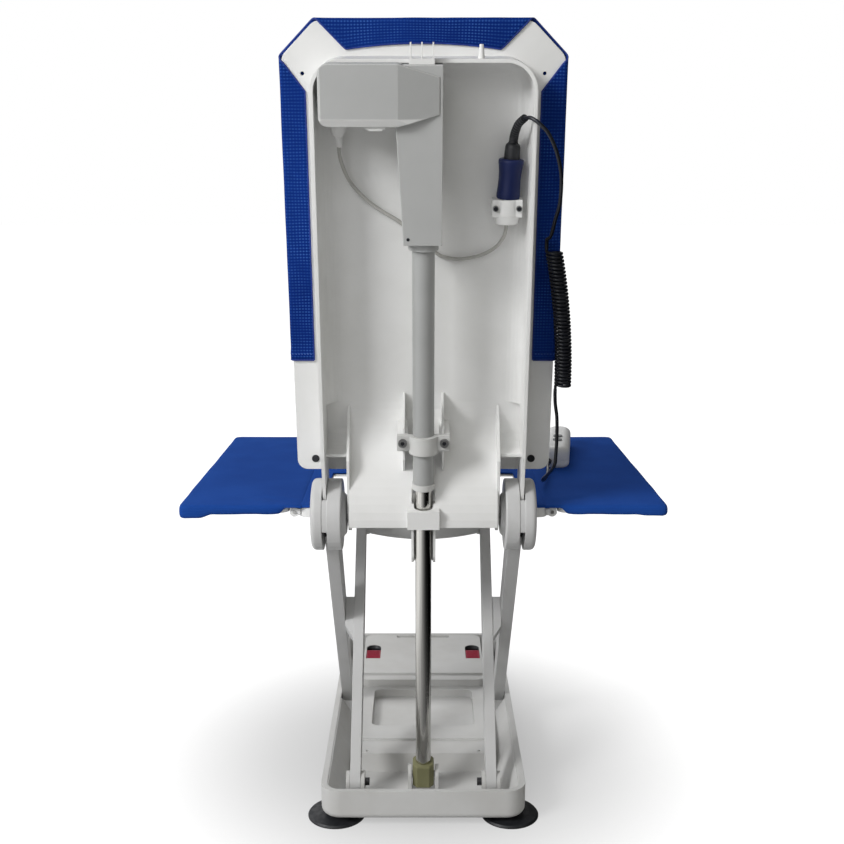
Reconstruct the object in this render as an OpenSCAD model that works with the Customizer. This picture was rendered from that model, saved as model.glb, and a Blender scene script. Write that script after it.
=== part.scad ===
// Bath lift, raised: a scissor base, a seat with two side flaps, a backrest with its
// screw drive and a corded handset. Millimetres, +Z up, the seat faces -Y.

/* [Scissor] */
// Distance between the end pins of every arm
arm_len = 530; // [515:1:545]
// Height of the base pivots above the floor
pivot_z = 50; // [48:0.5:53]
// Height of the seat hinge above the floor, seat raised
hinge_z = 477; // [460:1:485]
// Distance from the rear pivots to the outside of the rear wall
pivot_inset = 50; // [48:1:56]
// Distance from the centre plane to the inner arms
arm_inset = 96; // [94:0.5:97]
// Thickness of an inner arm
inner_arm_t = 16; // [15:0.5:17]
// Gap between an inner arm and the head of an outer arm
arm_gap = 6; // [5:0.5:7]
// Thickness of an outer arm's head
outer_arm_t = 20; // [18:0.5:21]
// Offset of an outer arm's beam outwards from its head
beam_shift = 8; // [7:0.5:9]
// Thickness of an outer arm's beam
beam_t = 18.5; // [16:0.5:19]
// Half depth of the arms at the crossing
arm_half = 22; // [18:1:23]
// Diameter of the pivot pins
pin_d = 12; // [10:0.5:14]
// Diameter of the hinge drum on an outer arm
drum_d = 105; // [100:1:106]
// Width of the drum's outer flange
flange_t = 16.5; // [12:0.5:18]

/* [Base] */
// Length of the base
base_len = 625; // [615:1:650]
// Height of the base's rim above the floor
base_h = 61; // [59:0.5:66]
// Height of the base's underside above the floor
base_z = 14; // [13:0.5:17]
// Thickness of the base's floor
base_floor_t = 4; // [3:0.5:6]
// Plan radius of the base's corners
base_r = 30; // [24:1:36]
// Radius of the base's lower edge
base_edge = 10; // [6:1:12]
// Diameter of a suction cup
cup_d = 88; // [76:1:96]
// Half width of the front deck
deck_half = 114; // [108:1:115]
// Distance from the rear wall to the front deck
deck_y = 400; // [392:1:412]
// Travel of a release catch
catch_travel = 8; // [5:0.5:9]

/* [Seat] */
// Height of the seat's upper face above the seat hinge
seat_rise = 12; // [11.5:0.1:13]
// Half width between the flap hinges
flap_hinge_x = 190; // [189:0.5:196]
// Half width over the flaps
seat_half = 354; // [330:1:370]
// Depth of a flap
flap_len = 484; // [440:1:490]
// Distance from the rear wall to the flaps
flap_y = 51; // [50:1:56]
// Thickness of the fabric on the seat
seat_cover_t = 3; // [2:0.5:3]
// Thickness of the fabric on a flap
flap_cover_t = 4; // [3:0.5:4.5]
// Diameter of the flap hinge rods
flap_rod_d = 5; // [4:0.5:7]

/* [Backrest] */
// Backward lean of the backrest, seat raised
recline = 9.25; // [8:0.25:10]
// Half width of the back shell
shell_half = 184.5; // [180:0.5:186]
// Height of the shell's lower edge above the hinge
shell_low = 58; // [56:0.5:64]
// Height of the shell's upper edge above the hinge
shell_top = 682; // [670:1:700]
// Thickness of the shell
shell_t = 5; // [4:0.5:6]
// Thickness of the fabric on the backrest
back_cover_t = 3; // [2:0.5:3.5]
// Height of the cover's lower hem above the hinge
hem_t = 227; // [200:1:260]
// Thickness of the tray's walls
tray_wall = 5; // [4:0.5:5.5]
// Height of the tray's upper rim above the hinge
tray_top = 639; // [634:1:645]
// Depth of the tray from shell to rim
tray_depth = 67; // [60:0.5:70]

/* [Drive] */
// Diameter of the lift rod
rod_d = 23.5; // [20:0.5:24]
// Distance from the rod's foot to the outside of the rear wall
foot_inset = 85; // [82:0.5:90]
// Height of the rod's foot pin above the floor
foot_z = 45; // [43:0.5:48]
// Outside diameter of the drive tube
tube_d = 30; // [28:0.5:31]
// Height of the tube's lower end above the hinge
tube_low = 57; // [55:0.5:60]
// Height of the drive column's lower end above the hinge
column_low = 410; // [400:1:420]
// Height of the motor box's underside above the hinge
motor_low = 560; // [552:1:566]
// Distance of the motor box's rear face behind the hinge
motor_rear = 75; // [70:1:80]
// Diameter of the motor
motor_d = 42; // [36:1:43]

/* [Handset] */
// Length of the handset
handset_len = 190; // [170:1:200]
// Width of the handset
handset_w = 42; // [42:1:46]
// Height of the handset
handset_h = 36; // [32:1:40]
// Diameter of a handset button
button_d = 15; // [12:0.5:17]

/* [Cord] */
// Diameter of the curly cord's wire
wire_d = 4.2; // [3.5:0.1:4.4]
// Outside diameter of the curls
curl_d = 24.5; // [22:0.5:26]
// Number of curls
curl_count = 38; // [30:1:39]
// Diameter of the motor cable
cable_d = 6; // [5:0.5:6.5]

/* [Hidden] */
$fn = 64;

// Colours
plastic = [0.86, 0.87, 0.87];
housing = [0.66, 0.67, 0.68];
fabric = [0.08, 0.20, 0.60];
steel = [0.72, 0.73, 0.75];
rubber = [0.07, 0.08, 0.10];
olive = [0.45, 0.45, 0.30];
navy = [0.08, 0.12, 0.30];
red = [0.62, 0.08, 0.14];
grey = [0.45, 0.46, 0.46];

// Clearances: a running fit, a sliding gap and a wide gap
fit = 0.05;
gap = 0.3;
loose = 1.2;

// Scissor geometry
arm_angle = asin((hinge_z - pivot_z) / arm_len);
reach = arm_len * cos(arm_angle);
lowered_reach = 525;
inner_out = arm_inset + inner_arm_t;
outer_in = inner_out + arm_gap;
outer_out = outer_in + outer_arm_t;
beam_in = outer_in + beam_shift;
beam_out = beam_in + beam_t;
arm_eye = 16;
slide_eye = 8.5;
slider_d = 12;
slider_pin_d = 8;
head_half = 26;
foot_eye = 12;

// Hinge stack, outwards from the centre plane
cheek_in = outer_out + 1;
cheek_out = cheek_in + tray_wall;
flange_in = cheek_out + 1.5;
flange_out = flange_in + flange_t;
knuckle_in = outer_in - 6;
gusset_t = 4;
gusset_out = knuckle_in - 3;
gusset_in = gusset_out - gusset_t;
lug_t = 15;
lug_out = gusset_in - 3;
lug_in = lug_out - lug_t;
hub_r = 28;

// Backrest frame: t runs up the backrest, n runs rearwards, both from the hinge
shell_n = -32;
floor_n = shell_n + tray_wall;
rim_n = shell_n + tray_depth;
tray_half = cheek_out;
foot_dy = pivot_inset - foot_inset;
foot_dz = foot_z - hinge_z;
rod_n = foot_dy * cos(recline) - foot_dz * sin(recline);
foot_t = foot_dy * sin(recline) + foot_dz * cos(recline);
motor_top = tray_top - tray_wall - 1;
worm_t = motor_low + 30;
box_top = motor_top + 2;
rear_reach = box_top * sin(recline) + motor_rear * cos(recline) - pivot_inset;

// The origin lies under the middle of the whole lift
origin_y = (base_len - rear_reach) / 2;

// Base
base_half = beam_out + 10.5;
rail_in = beam_out + loose;
rail_wall = 4;
floor_top = base_z + base_floor_t;
deck_t = 14;
catch_w = 27;
catch_l = 41;
catch_h = 9;
catch_x = deck_half - catch_w / 2 - 4.5;
catch_y = deck_y + 98;
cup_rear_x = base_half - 22;
cup_front_x = base_half - cup_d / 2 - 4;
cup_rear_y = 42;
cup_front_y = base_len - 50;

// Seat
seat_top = hinge_z + seat_rise;
plate_top = seat_top - seat_cover_t;
plate_low = hinge_z - 7;
seat_rear = pivot_inset + drum_d / 2 + 3;
seat_front = pivot_inset + lowered_reach + 15;
knuckle_r = 7;
plate_half = flap_hinge_x - knuckle_r - 1;
flap_in = flap_hinge_x + knuckle_r + 1;
flap_plate_top = seat_top - flap_cover_t - 1;
flap_low = hinge_z;

// Drive
clamp_low = tube_low + 56;
clamp_h = 26;
clamp_screw_d = 6.5;
clamp_screw_x = 29;
clamp_screw_t = clamp_low + clamp_h / 2 + 3;
ring_h = 9;
nut_len = 36;
rod_top = tube_low + 70;
spindle_d = 11;
tube_top = column_low + 60;

// Handset, in its own frame on the right flap
handset_x = -(flap_in + 1 + handset_w / 2);
handset_y = 275;
handset_z = seat_top + gap;
handset_turn = 8;
relief_x = handset_w / 2 - 8;
split_z = 14;
skin = 2;
relief_len = 14;
relief_z = 13;

// Cord routes as chosen points, [x, y, z] in the raised pose, y from the rear wall
plug_x = -111;
plug_n = -8;
plug_t = 459;
cord_d = 5;
lead_points = [[-118, 8, 569], [-124, 22, 576], [-132, 37, 577], [-142, 45, 570], [-153, 46, 554],
    [-163, 42, 528], [-170, 32, 495], [-173, 17, 460], [-174, 2, 428]];
curl_x = -177;
curl_sway = 20;
curl_n = -12;
curl_low = 193;
curl_pitch = 5.1;
drop_points = [[-188, -12, 166], [-191, -11, 145], [-193, -10, 110], [-193, -8, 78]];
end_points = [[-193, -46, 549], [-194, -62, 538], [-197, -105, 524], [-203, -165, 511], [-209, -220, 503]];
gland_x = 111;
gland_n = -4;
cable_points = [[gland_x, gland_n, 541], [110, -9, 520], [104, -14, 495], [90, -19, 470], [66, -21, 448],
    [36, -22, 430], [8, -22, 414], [-18, -22, 402], [-46, -21, 395], [-74, -18, 396],
    [-95, -14, 401], [-107, -10, 408], [plug_x, plug_n, 417]];

// Moves a piece from the rear wall's frame to the lift's own origin
module place() {
    translate([0, origin_y, 0]) children();
}

// Moves a piece from the backrest's frame to the raised pose
module on_back() {
    place() translate([0, -pivot_inset, hinge_z]) rotate([-recline, 0, 0]) children();
}

// Moves a piece from an inner arm's frame, which runs along -Y from the base pivot
module on_inner_arm() {
    place() translate([0, -pivot_inset, pivot_z]) rotate([-arm_angle, 0, 0]) children();
}

// Moves a piece from an outer arm's frame, which runs along -Y from the seat hinge
module on_outer_arm() {
    place() translate([0, -pivot_inset, hinge_z]) rotate([arm_angle, 0, 0]) children();
}

// Draws a left-hand piece, or its mirror image
module side(s) {
    mirror([s < 0 ? 1 : 0, 0, 0]) children();
}

// Draws a left-hand piece on both sides
module both() {
    for (s = [1, -1]) side(s) children();
}

// A plate across X, its outline drawn in Y and Z
module x_plate(x0, x1) {
    translate([x0, 0, 0]) rotate([90, 0, 90]) linear_extrude(x1 - x0) children();
}

// A plate across Y, its outline drawn in X and Z
module y_plate(y0, y1) {
    translate([0, y1, 0]) rotate([90, 0, 0]) linear_extrude(y1 - y0) children();
}

// A round bar along X
module x_bar(x0, x1, d, y = 0, z = 0) {
    translate([x0, y, z]) rotate([0, 90, 0]) cylinder(d = d, h = x1 - x0);
}

// A box between two corners
module box(a, b) {
    translate(a) cube(b - a);
}

// Points of an arc
function arc(cx, cy, r, a0, a1, n = 8) =
    [for (i = [0 : n]) let (a = a0 + (a1 - a0) * i / n) [cx + r * cos(a), cy + r * sin(a)]];

// Outline of a rectangle with round lower and upper corners
function round_rect(x0, y0, x1, y1, low_r, top_r) = concat(
    arc(x0 + low_r, y0 + low_r, low_r, 180, 270), arc(x1 - low_r, y0 + low_r, low_r, 270, 360),
    arc(x1 - top_r, y1 - top_r, top_r, 0, 90), arc(x0 + top_r, y1 - top_r, top_r, 90, 180));

// A block with upright round corners, between two corners of its box
module round_block(a, b, r) {
    box([a.x + r, a.y, a.z], [b.x - r, b.y, b.z]);
    box([a.x, a.y + r, a.z], [b.x, b.y - r, b.z]);
    for (x = [a.x + r, b.x - r], y = [a.y + r, b.y - r])
        translate([x, y, a.z]) cylinder(r = r, h = b.z - a.z);
}

// A round block whose lower edge is rounded too
module dish(half, len, z0, z1, r, edge) {
    h = z1 - z0;
    outline = concat([[0, 0]], arc(r - edge, edge, edge, 270, 360, 6), [[r, h], [0, h]]);
    translate([0, 0, z0]) {
        box([-half + r, -len + r, 0], [half - r, -r, h]);
        for (x = [-half + r, half - r], y = [-len + r, -r]) translate([x, y, 0]) rotate_extrude()
            polygon(outline);
        both() translate([half - r, -r, 0]) rotate([90, 0, 0]) linear_extrude(len - 2 * r)
            polygon(outline);
        for (end = [0, 1]) translate([0, -len * end, 0]) mirror([0, end, 0]) translate([0, -r, 0])
            x_plate(-half + r, half - r) polygon(outline);
    }
}

// A tube swept along points, one polyhedron of triangles
function unit(v) = v / norm(v);
function heading(p, i) = unit(p[min(i + 1, len(p) - 1)] - p[max(i - 1, 0)]);
function frame_x(t) = unit(cross(t, abs(t.y) < 0.9 ? [0, 1, 0] : [1, 0, 0]));
function ring(c, t, r, n) = let (u = frame_x(t), v = cross(t, u))
    [for (k = [0 : n - 1]) c + r * (cos(360 * k / n) * u + sin(360 * k / n) * v)];
function spline(p, steps) = concat([for (i = [0 : len(p) - 2], k = [0 : steps - 1])
    let (a = p[max(i - 1, 0)], b = p[i], c = p[i + 1], d = p[min(i + 2, len(p) - 1)], s = k / steps)
    0.5 * (2 * b + (c - a) * s + (2 * a - 5 * b + 4 * c - d) * s * s
        + (3 * b - a - 3 * c + d) * s * s * s)], [p[len(p) - 1]]);
module sweep(p, d, n) {
    last = len(p) - 1;
    points = [for (i = [0 : last]) each ring(p[i], heading(p, i), d / 2, n)];
    walls = [for (i = [0 : last - 1], k = [0 : n - 1]) let (a = i * n + k, b = i * n + (k + 1) % n)
        each [[a, a + n, b], [b, a + n, b + n]]];
    ends = [for (k = [1 : n - 2]) each
        [[0, k, k + 1], [last * n, last * n + k + 1, last * n + k]]];
    polyhedron(points, concat(walls, ends), convexity = 10);
}

// Base tray: a long dish with side rails, pivot ears, a cross bar and the foot's saddle
module base_tray() {
    ear_t = 6;
    ear_in = arm_inset - gap - ear_t;
    ear_out = inner_out + gap;
    bar_y = pivot_inset + 145;
    bar_t = 30;
    bar_top = base_h - 13;
    step_l = 46;
    slope_in = ear_out + ear_t + 2;
    color(plastic) place() difference() {
        union() {
            difference() {
                dish(base_half, base_len, base_z, base_h, base_r, base_edge);
                round_block([-rail_in, -base_len + 8, floor_top], [rail_in, -8, base_h + 1], 20);
                both() box([rail_in - 1, -pivot_inset - lowered_reach - 15, pivot_z - slider_d / 2 - gap],
                    [base_half - rail_wall, -pivot_inset - reach + 15, pivot_z + slider_d / 2 + gap]);
            }
            difference() {
                box([-deck_half, -deck_y, floor_top - 1], [deck_half, -bar_y, bar_top]);
                round_block([-deck_half + 26, -deck_y + 14, bar_top - 14],
                    [deck_half - 26, -bar_y - bar_t - 18, bar_top + 1], 12);
            }
            x_plate(-deck_half, deck_half) polygon([[-bar_y - 1, floor_top - 1], [-bar_y - 1, bar_top - 3],
                [-bar_y + step_l, bar_top - 3], [-bar_y + step_l + 10, floor_top - 1]]);
            both() y_plate(-pivot_inset - reach + 40, -14) polygon([[slope_in, floor_top - 1],
                [rail_in + 1, floor_top - 1], [rail_in + 1, base_h - 1], [rail_in - 2, base_h - 1],
                [slope_in, floor_top + 5]]);
            both() for (x = [ear_in, ear_out]) x_plate(x, x + ear_t) {
                translate([-pivot_inset, pivot_z]) circle(r = arm_eye);
                translate([-pivot_inset - arm_eye, floor_top]) square([2 * arm_eye, pivot_z - floor_top]);
            }
            foot_saddle();
        }
        both() x_bar(ear_in - 1, ear_out + ear_t + 1, pin_d + 2 * fit, -pivot_inset, pivot_z);
        both() translate([91, -bar_y + 37, base_z - 1]) cylinder(d = 5, h = base_h);
    }
}

// Two ears for the rod's foot, with slots that open forwards and upwards
saddle_in = 18;
saddle_t = 6;
module foot_saddle() {
    slot_w = pin_d + 2 * gap;
    slot_angle = 34;
    flare = 4;
    mouth = slot_w / 2 + 0.6;
    both() x_plate(saddle_in, saddle_in + saddle_t) difference() {
        union() {
            translate([-foot_inset, foot_z]) circle(r = 14);
            translate([-foot_inset - 14, floor_top]) square([28, foot_z - floor_top]);
        }
        translate([-foot_inset, foot_z]) {
            circle(d = slot_w);
            rotate(180 - slot_angle)
                polygon([[0, -mouth], [40, -mouth - flare], [40, mouth + flare], [0, mouth]]);
        }
    }
}

// Front deck with two arched windows for the catches and a grip slot at its front edge
module front_deck() {
    window_l = catch_l + catch_travel + 3;
    window_w = catch_w + 2 * gap;
    pocket_z = base_h - catch_h - 2 * gap;
    front = base_len - 9;
    color(plastic) place() difference() {
        round_block([-deck_half, -front, floor_top], [deck_half, -deck_y, base_h], 16);
        round_block([-deck_half + 5, -front + 5, floor_top - 1],
            [deck_half - 5, -deck_y - 5, base_h - deck_t], 11);
        both() translate([catch_x, -catch_y + gap, pocket_z]) {
            box([-window_w / 2, -window_l, 0], [window_w / 2, 0, base_h]);
            translate([0, -window_l, -deck_t]) cylinder(d = window_w, h = base_h);
        }
        box([-52, -front + 4, base_h - 5], [52, -front + 14, base_h + 1]);
        box([-deck_half - 1, -deck_y - 30, base_h - 7], [deck_half + 1, -deck_y - 18, base_h + 1]);
        translate([0, -deck_y + 1, base_h]) rotate([-25, 0, 0])
            box([-deck_half - 1, -24, 0], [deck_half + 1, 20, 20]);
    }
}

// A suction cup: a hollow bell under a stem
module suction_cup(s, x, y) {
    r = cup_d / 2;
    outline = [[0, base_z], [12, base_z], [12, base_z - 4], [r - 14, base_z - 7], [r - 2, 4], [r, 1.5],
        [r, 0], [r - 4, 0], [r - 16, 4], [10, 6], [0, 6]];
    color(rubber) place() side(s) translate([x, -y, 0]) rotate_extrude() polygon(outline);
}
module suction_cup_rear_left() { suction_cup(1, cup_rear_x, cup_rear_y); }
module suction_cup_rear_right() { suction_cup(-1, cup_rear_x, cup_rear_y); }
module suction_cup_front_left() { suction_cup(1, cup_front_x, cup_front_y); }
module suction_cup_front_right() { suction_cup(-1, cup_front_x, cup_front_y); }

// Pins of the inner arms in the base's ears
module base_pins() {
    color(steel) place() both()
        x_bar(arm_inset - gap - 13, inner_out + gap + 7, pin_d, -pivot_inset, pivot_z);
}

// A red catch that slides forwards in its window
module release_catch(s) {
    z = base_h - catch_h - gap;
    color(red) place() side(s) difference() {
        box([catch_x - catch_w / 2, -catch_y - catch_l, z], [catch_x + catch_w / 2, -catch_y, base_h - 1]);
        for (k = [0 : 6]) translate([0, -catch_y - 5 - 5 * k, base_h - 1])
            x_bar(catch_x - catch_w / 2 + 3, catch_x + catch_w / 2 - 3, 2.4);
    }
}
module catch_left() { release_catch(1); }
module catch_right() { release_catch(-1); }

// Side outline of a tapered arm along -Y
module arm_outline(start_r, end_r) {
    polygon([[0, start_r], [-arm_len / 2, arm_half], [-arm_len, end_r], [-arm_len, -end_r],
        [-arm_len / 2, -arm_half], [0, -start_r]]);
    circle(r = start_r);
    translate([-arm_len, 0]) circle(r = end_r);
}

// Side outline of the two long pockets that lighten an arm
module arm_pockets(from, to, half) {
    for (span = [[from, arm_len / 2 - 34], [arm_len / 2 + 34, to]])
        polygon(round_rect(-span[1], -half, -span[0], half, half - 1, half - 1));
}

// Inner arm, from the base's rear ears to the seat's front track, with the crossing boss
module inner_arm(s) {
    boss_out = beam_in - gap;
    mid = arm_len / 2;
    color(plastic) on_inner_arm() side(s) difference() {
        union() {
            x_plate(arm_inset, inner_out) arm_outline(arm_eye, slide_eye);
            translate([0, 0, -arm_half + 2]) linear_extrude(2 * arm_half - 4)
                polygon([[inner_out - 1, -mid + 62], [inner_out + 1.5, -mid + 44], [boss_out, -mid + 26],
                    [boss_out, -mid - 22], [inner_out - 1, -mid - 22]]);
        }
        x_plate(arm_inset - 1, arm_inset + 6) arm_pockets(34, arm_len - 70, 9);
        for (y = [0, -mid]) x_bar(arm_inset - 1, boss_out + 1, pin_d + 2 * fit, y);
        x_bar(arm_inset - 1, inner_out + 1, slider_pin_d + 2 * fit, -arm_len);
    }
}
module inner_arm_left() { inner_arm(1); }
module inner_arm_right() { inner_arm(-1); }

// Web that ties the inner arms together below the seat, its lower edge bowed
module arm_web() {
    low = 0.742 * arm_len;
    top = 0.93 * arm_len;
    half = arm_inset - fit;
    bow = 12;
    edge = [for (i = [0 : 16]) let (x = -half + 2 * half * i / 16)
        [x, -low + bow * (1 - pow(abs(x) / half, 2)) - bow]];
    color(plastic) on_inner_arm() {
        translate([0, 0, -3]) linear_extrude(6) polygon(concat(edge, [[half, -top], [-half, -top]]));
        for (x = [-half, half - 5]) box([x, -top, -11], [x + 5, -low - bow, 5]);
    }
}

// Pins through the crossing of the arms
module crossing_pins() {
    color(steel) on_inner_arm() both()
        x_bar(arm_inset + 1, beam_out - 1, pin_d, -arm_len / 2);
}

// Stub axle with a roller at its end
module slider(x0, x1, x2) {
    x_bar(x0, x1, slider_pin_d);
    x_bar(x1, x2, slider_d);
}

// Upper sliders, on the inner arms, in the seat's tracks
track_in = inner_out + 1.5;
track_w = 14.5;
module seat_sliders() {
    color(grey) on_inner_arm() both() translate([0, -arm_len, 0])
        slider(arm_inset + 1, track_in + 1.5, track_in + track_w - loose);
}

// Lower sliders, on the outer arms, in the base's rails
module base_sliders() {
    color(grey) on_outer_arm() both() translate([0, -arm_len, 0])
        slider(beam_in + 1, rail_in + gap, base_half - rail_wall - gap);
}

// Drum outline from its axis outwards: X along the axis, one round outer edge
module drum_outline(x0, x1, edge0, edge1) {
    r = drum_d / 2;
    polygon(concat([[0, x0]], arc(r - edge0, x0 + edge0, edge0, 270, 360, 5),
        arc(r - edge1, x1 - edge1, edge1, 0, 90, 5), [[0, x1]]));
}

// A ring sector across X, from inner to outer radius, in the raised pose's angles
module drum_sector(x0, x1, inner, outer, low, high) {
    a0 = low - arm_angle;
    a1 = high - arm_angle;
    x_plate(x0, x1) polygon(concat(arc(0, 0, outer, a0, a1, 10), arc(0, 0, inner, a1, a0, 10)));
}

// Links across the drum's slot: the rear stop block and the tie in front
module drum_links() {
    r = drum_d / 2;
    drum_sector(outer_out - 12, flange_out - 4, r - 8, r - 0.8, -15, 38);
    drum_sector(outer_out - 1, flange_in + 1, hub_r + 6.2, r - 1.5, -168, -104);
}

// Outer arm: drum head at the seat hinge, a beam set outwards and the base slider's eye
module outer_arm(s) {
    r = drum_d / 2;
    color(plastic) on_outer_arm() side(s) difference() {
        union() {
            rotate([0, 90, 0]) {
                rotate_extrude() drum_outline(outer_in, outer_out, 2, 0.5);
                rotate_extrude() drum_outline(flange_in, flange_out, 0.5, 7);
                translate([0, 0, knuckle_in])
                    cylinder(r1 = hub_r, r2 = hub_r + 8, h = outer_in - knuckle_in + 1);
            }
            drum_links();
            difference() {
                x_plate(beam_in, beam_out) arm_outline(head_half, foot_eye);
                x_plate(outer_out - 1, beam_out + 1) circle(r = hub_r + 5);
            }
        }
        x_plate(beam_out - 7, beam_out + 1) arm_pockets(r + 12, arm_len - 30, 10);
        x_bar(knuckle_in - 1, flange_out - 4, pin_d + 2 * fit);
        x_bar(beam_in - 1, beam_out + 1, pin_d + 2 * fit, -arm_len / 2);
        x_bar(beam_in - 1, beam_out + 1, slider_pin_d + 2 * fit, -arm_len);
    }
}
module outer_arm_left() { outer_arm(1); }
module outer_arm_right() { outer_arm(-1); }

// Hinge pins through the seat's lugs, the backrest's cheeks and the drums
module hinge_pins() {
    color(steel) on_outer_arm() both() x_bar(lug_in - 2, flange_out - 4.5, pin_d);
}

// Spans of the hinge knuckles along a flap: the seat has the odd ones
knuckle_l = 60;
function knuckle_y(k) = flap_y + flap_len * (0.08 + 0.21 * k) - knuckle_l / 2;
module hinge_knuckles(k0) {
    for (k = [k0 : 2 : 4]) translate([flap_hinge_x, -knuckle_y(k), hinge_z]) rotate([90, 0, 0])
        cylinder(r = knuckle_r, h = knuckle_l);
}
module hinge_bore() {
    translate([flap_hinge_x, -flap_y + 1, hinge_z]) rotate([90, 0, 0])
        cylinder(d = flap_rod_d + 2 * fit, h = flap_len);
}

// Seat plate: a ribbed pan with arm slots, roller tracks, hinge lugs and flap knuckles
module seat_plate() {
    skin_t = 3;
    wall = 4;
    track_low = hinge_z - slider_d / 2 - gap;
    track_start = pivot_inset + reach - 14;
    track_out = track_in + track_w;
    drum_half_out = flange_out + 3;
    color(plastic) place() difference() {
        union() {
            difference() {
                round_block([-plate_half, -seat_front, plate_low], [plate_half, -flap_y - 5, plate_top], 12);
                box([-plate_half + wall, -seat_front + wall, plate_low - 1],
                    [plate_half - wall, -flap_y - 5 - wall, plate_top - skin_t]);
                box([-drum_half_out, -seat_rear, plate_low - 1], [drum_half_out, 0, plate_top + 1]);
                both() box([arm_inset - 1.5, -seat_front + wall, plate_low - 1],
                    [track_in, -track_start, plate_top + 1]);
            }
            box([-drum_half_out, -seat_rear - wall, plate_low], [drum_half_out, -seat_rear, plate_top]);
            for (x = [-55, 0, 55]) box([x - 1.5, -track_start, plate_low + 2],
                [x + 1.5, -seat_rear, plate_top - 1]);
            both() {
                box([arm_inset - 5, -track_start, plate_low], [arm_inset - 1.5, -seat_rear, plate_top - 1]);
                box([track_out, -seat_front + 1, track_low - 3.5],
                    [track_out + wall, -track_start, plate_top - 1]);
                box([track_in + 3, -seat_front + 1, track_low - 3.5], [track_out + 1, -track_start, track_low]);
                x_plate(lug_in, lug_out) {
                    translate([-pivot_inset, hinge_z]) circle(r = arm_eye);
                    translate([-seat_rear - 30, plate_low])
                        square([seat_rear + 30 - pivot_inset, plate_top - plate_low]);
                }
                hinge_knuckles(0);
                for (k = [0 : 2 : 4]) box([plate_half - 1, -knuckle_y(k) - knuckle_l, plate_low + 2],
                    [flap_hinge_x, -knuckle_y(k), plate_top - 4]);
            }
        }
        both() {
            box([outer_in - 1.5, -pivot_inset - 200, plate_low - 1],
                [beam_out + 1.5, -seat_rear + 1, plate_top + 1]);
            hinge_bore();
            x_bar(lug_in - 1, lug_out + 1, pin_d + 2 * fit, -pivot_inset, hinge_z);
        }
    }
}

// Fabric on the seat
module seat_cover() {
    half = flap_hinge_x - seat_rise - 0.5;
    color(fabric) place() difference() {
        round_block([-half, -seat_front + 2, plate_top], [half, -seat_rear - 2, seat_top], 14);
        both() round_block([outer_in - 1.5, -pivot_inset - 200, plate_top - 1],
            [beam_out + 1.5, -seat_rear + 20, seat_top + 1], 4);
    }
}

// Rods of the flap hinges
module flap_rods() {
    color(steel) place() both() translate([flap_hinge_x, -knuckle_y(0) + 2, hinge_z]) rotate([90, 0, 0])
        cylinder(d = flap_rod_d, h = knuckle_y(4) - knuckle_y(0) + knuckle_l + 4);
}

// Side flap: a shallow ribbed pan with its knuckles
module flap(s) {
    edge = seat_half - flap_cover_t - gap;
    rear = flap_y + flap_cover_t + gap;
    front = flap_y + flap_len - flap_cover_t - gap;
    color(plastic) place() side(s) difference() {
        union() {
            difference() {
                round_block([flap_in, -front, flap_low], [edge, -rear, flap_plate_top], 14);
                round_block([flap_in + 6, -front + 5, flap_low - 1],
                    [edge - 5, -rear - 5, flap_plate_top - 3], 10);
            }
            for (k = [1 : 4]) let (y = flap_y + flap_len * k / 5)
                box([flap_in + 2, -y - 2, flap_low + 1], [edge - 2, -y + 2, flap_plate_top - 1]);
            hinge_knuckles(1);
            for (k = [1 : 2 : 4]) box([flap_hinge_x, -knuckle_y(k) - knuckle_l, flap_low],
                [flap_in + 1, -knuckle_y(k), flap_plate_top - 2]);
        }
        hinge_bore();
    }
}
module flap_left() { flap(1); }
module flap_right() { flap(-1); }

// Fabric over a flap, wrapped round its three free edges
module flap_cover(s) {
    front = flap_y + flap_len;
    low = flap_low - 1;
    color(fabric) place() side(s) difference() {
        round_block([flap_in + 0.5, -front, low], [seat_half, -flap_y, seat_top], 16);
        round_block([flap_in - 20, -front + flap_cover_t, low - 1],
            [seat_half - flap_cover_t, -flap_y - flap_cover_t, flap_plate_top], 14);
    }
}
module flap_cover_left() { flap_cover(1); }
module flap_cover_right() { flap_cover(-1); }

// A long pod with round ends, from the right half of its cross-section
module pod(half, len) {
    for (y = [-half, -len + half]) translate([0, y, 0]) rotate_extrude() children();
    both() translate([0, -half, 0]) rotate([90, 0, 0]) linear_extrude(len - 2 * half) children();
}
module on_handset() {
    place() translate([handset_x, -handset_y, handset_z]) rotate([0, 0, -handset_turn]) children();
}
function handset_point(x, y, z) = [handset_x, -handset_y, handset_z]
    + [x * cos(handset_turn) + y * sin(handset_turn), y * cos(handset_turn) - x * sin(handset_turn), z];

// Cross-sections of the handset's shells, inset by i
module lower_section(i) {
    half = handset_w / 2 - i;
    polygon(concat([[0, i]], arc(half - 8 + i, 8, 8 - i, 270, 360, 5), [[half, split_z], [0, split_z]]));
}
module upper_section(i) {
    half = handset_w / 2 - i;
    r = 11 - i;
    top = handset_h - i;
    polygon(concat([[0, split_z], [half, split_z]], arc(half - r, top - r, r, 0, 90, 6), [[0, top]]));
}

// Lower handset shell with board posts and the cord's hole
board_z = 10;
module handset_lower() {
    half = handset_w / 2;
    color(plastic) on_handset() difference() {
        union() {
            difference() {
                pod(half, handset_len) lower_section(0);
                difference() {
                    pod(half - skin, handset_len) translate([0, 0]) lower_section(skin);
                    box([-half, -2 * skin, 0], [half, 1, handset_h]);
                    box([-half, -handset_len - 1, 0], [half, -handset_len + 2 * skin, handset_h]);
                }
            }
            for (x = [-11, 11], y = [-50, -130]) translate([x, y, skin - 0.5])
                cylinder(d = 7, h = board_z - skin + 0.5);
        }
        translate([relief_x, 1, relief_z]) rotate([90, 0, 0]) cylinder(d = 7 + 2 * fit, h = half + 10);
    }
}

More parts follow.
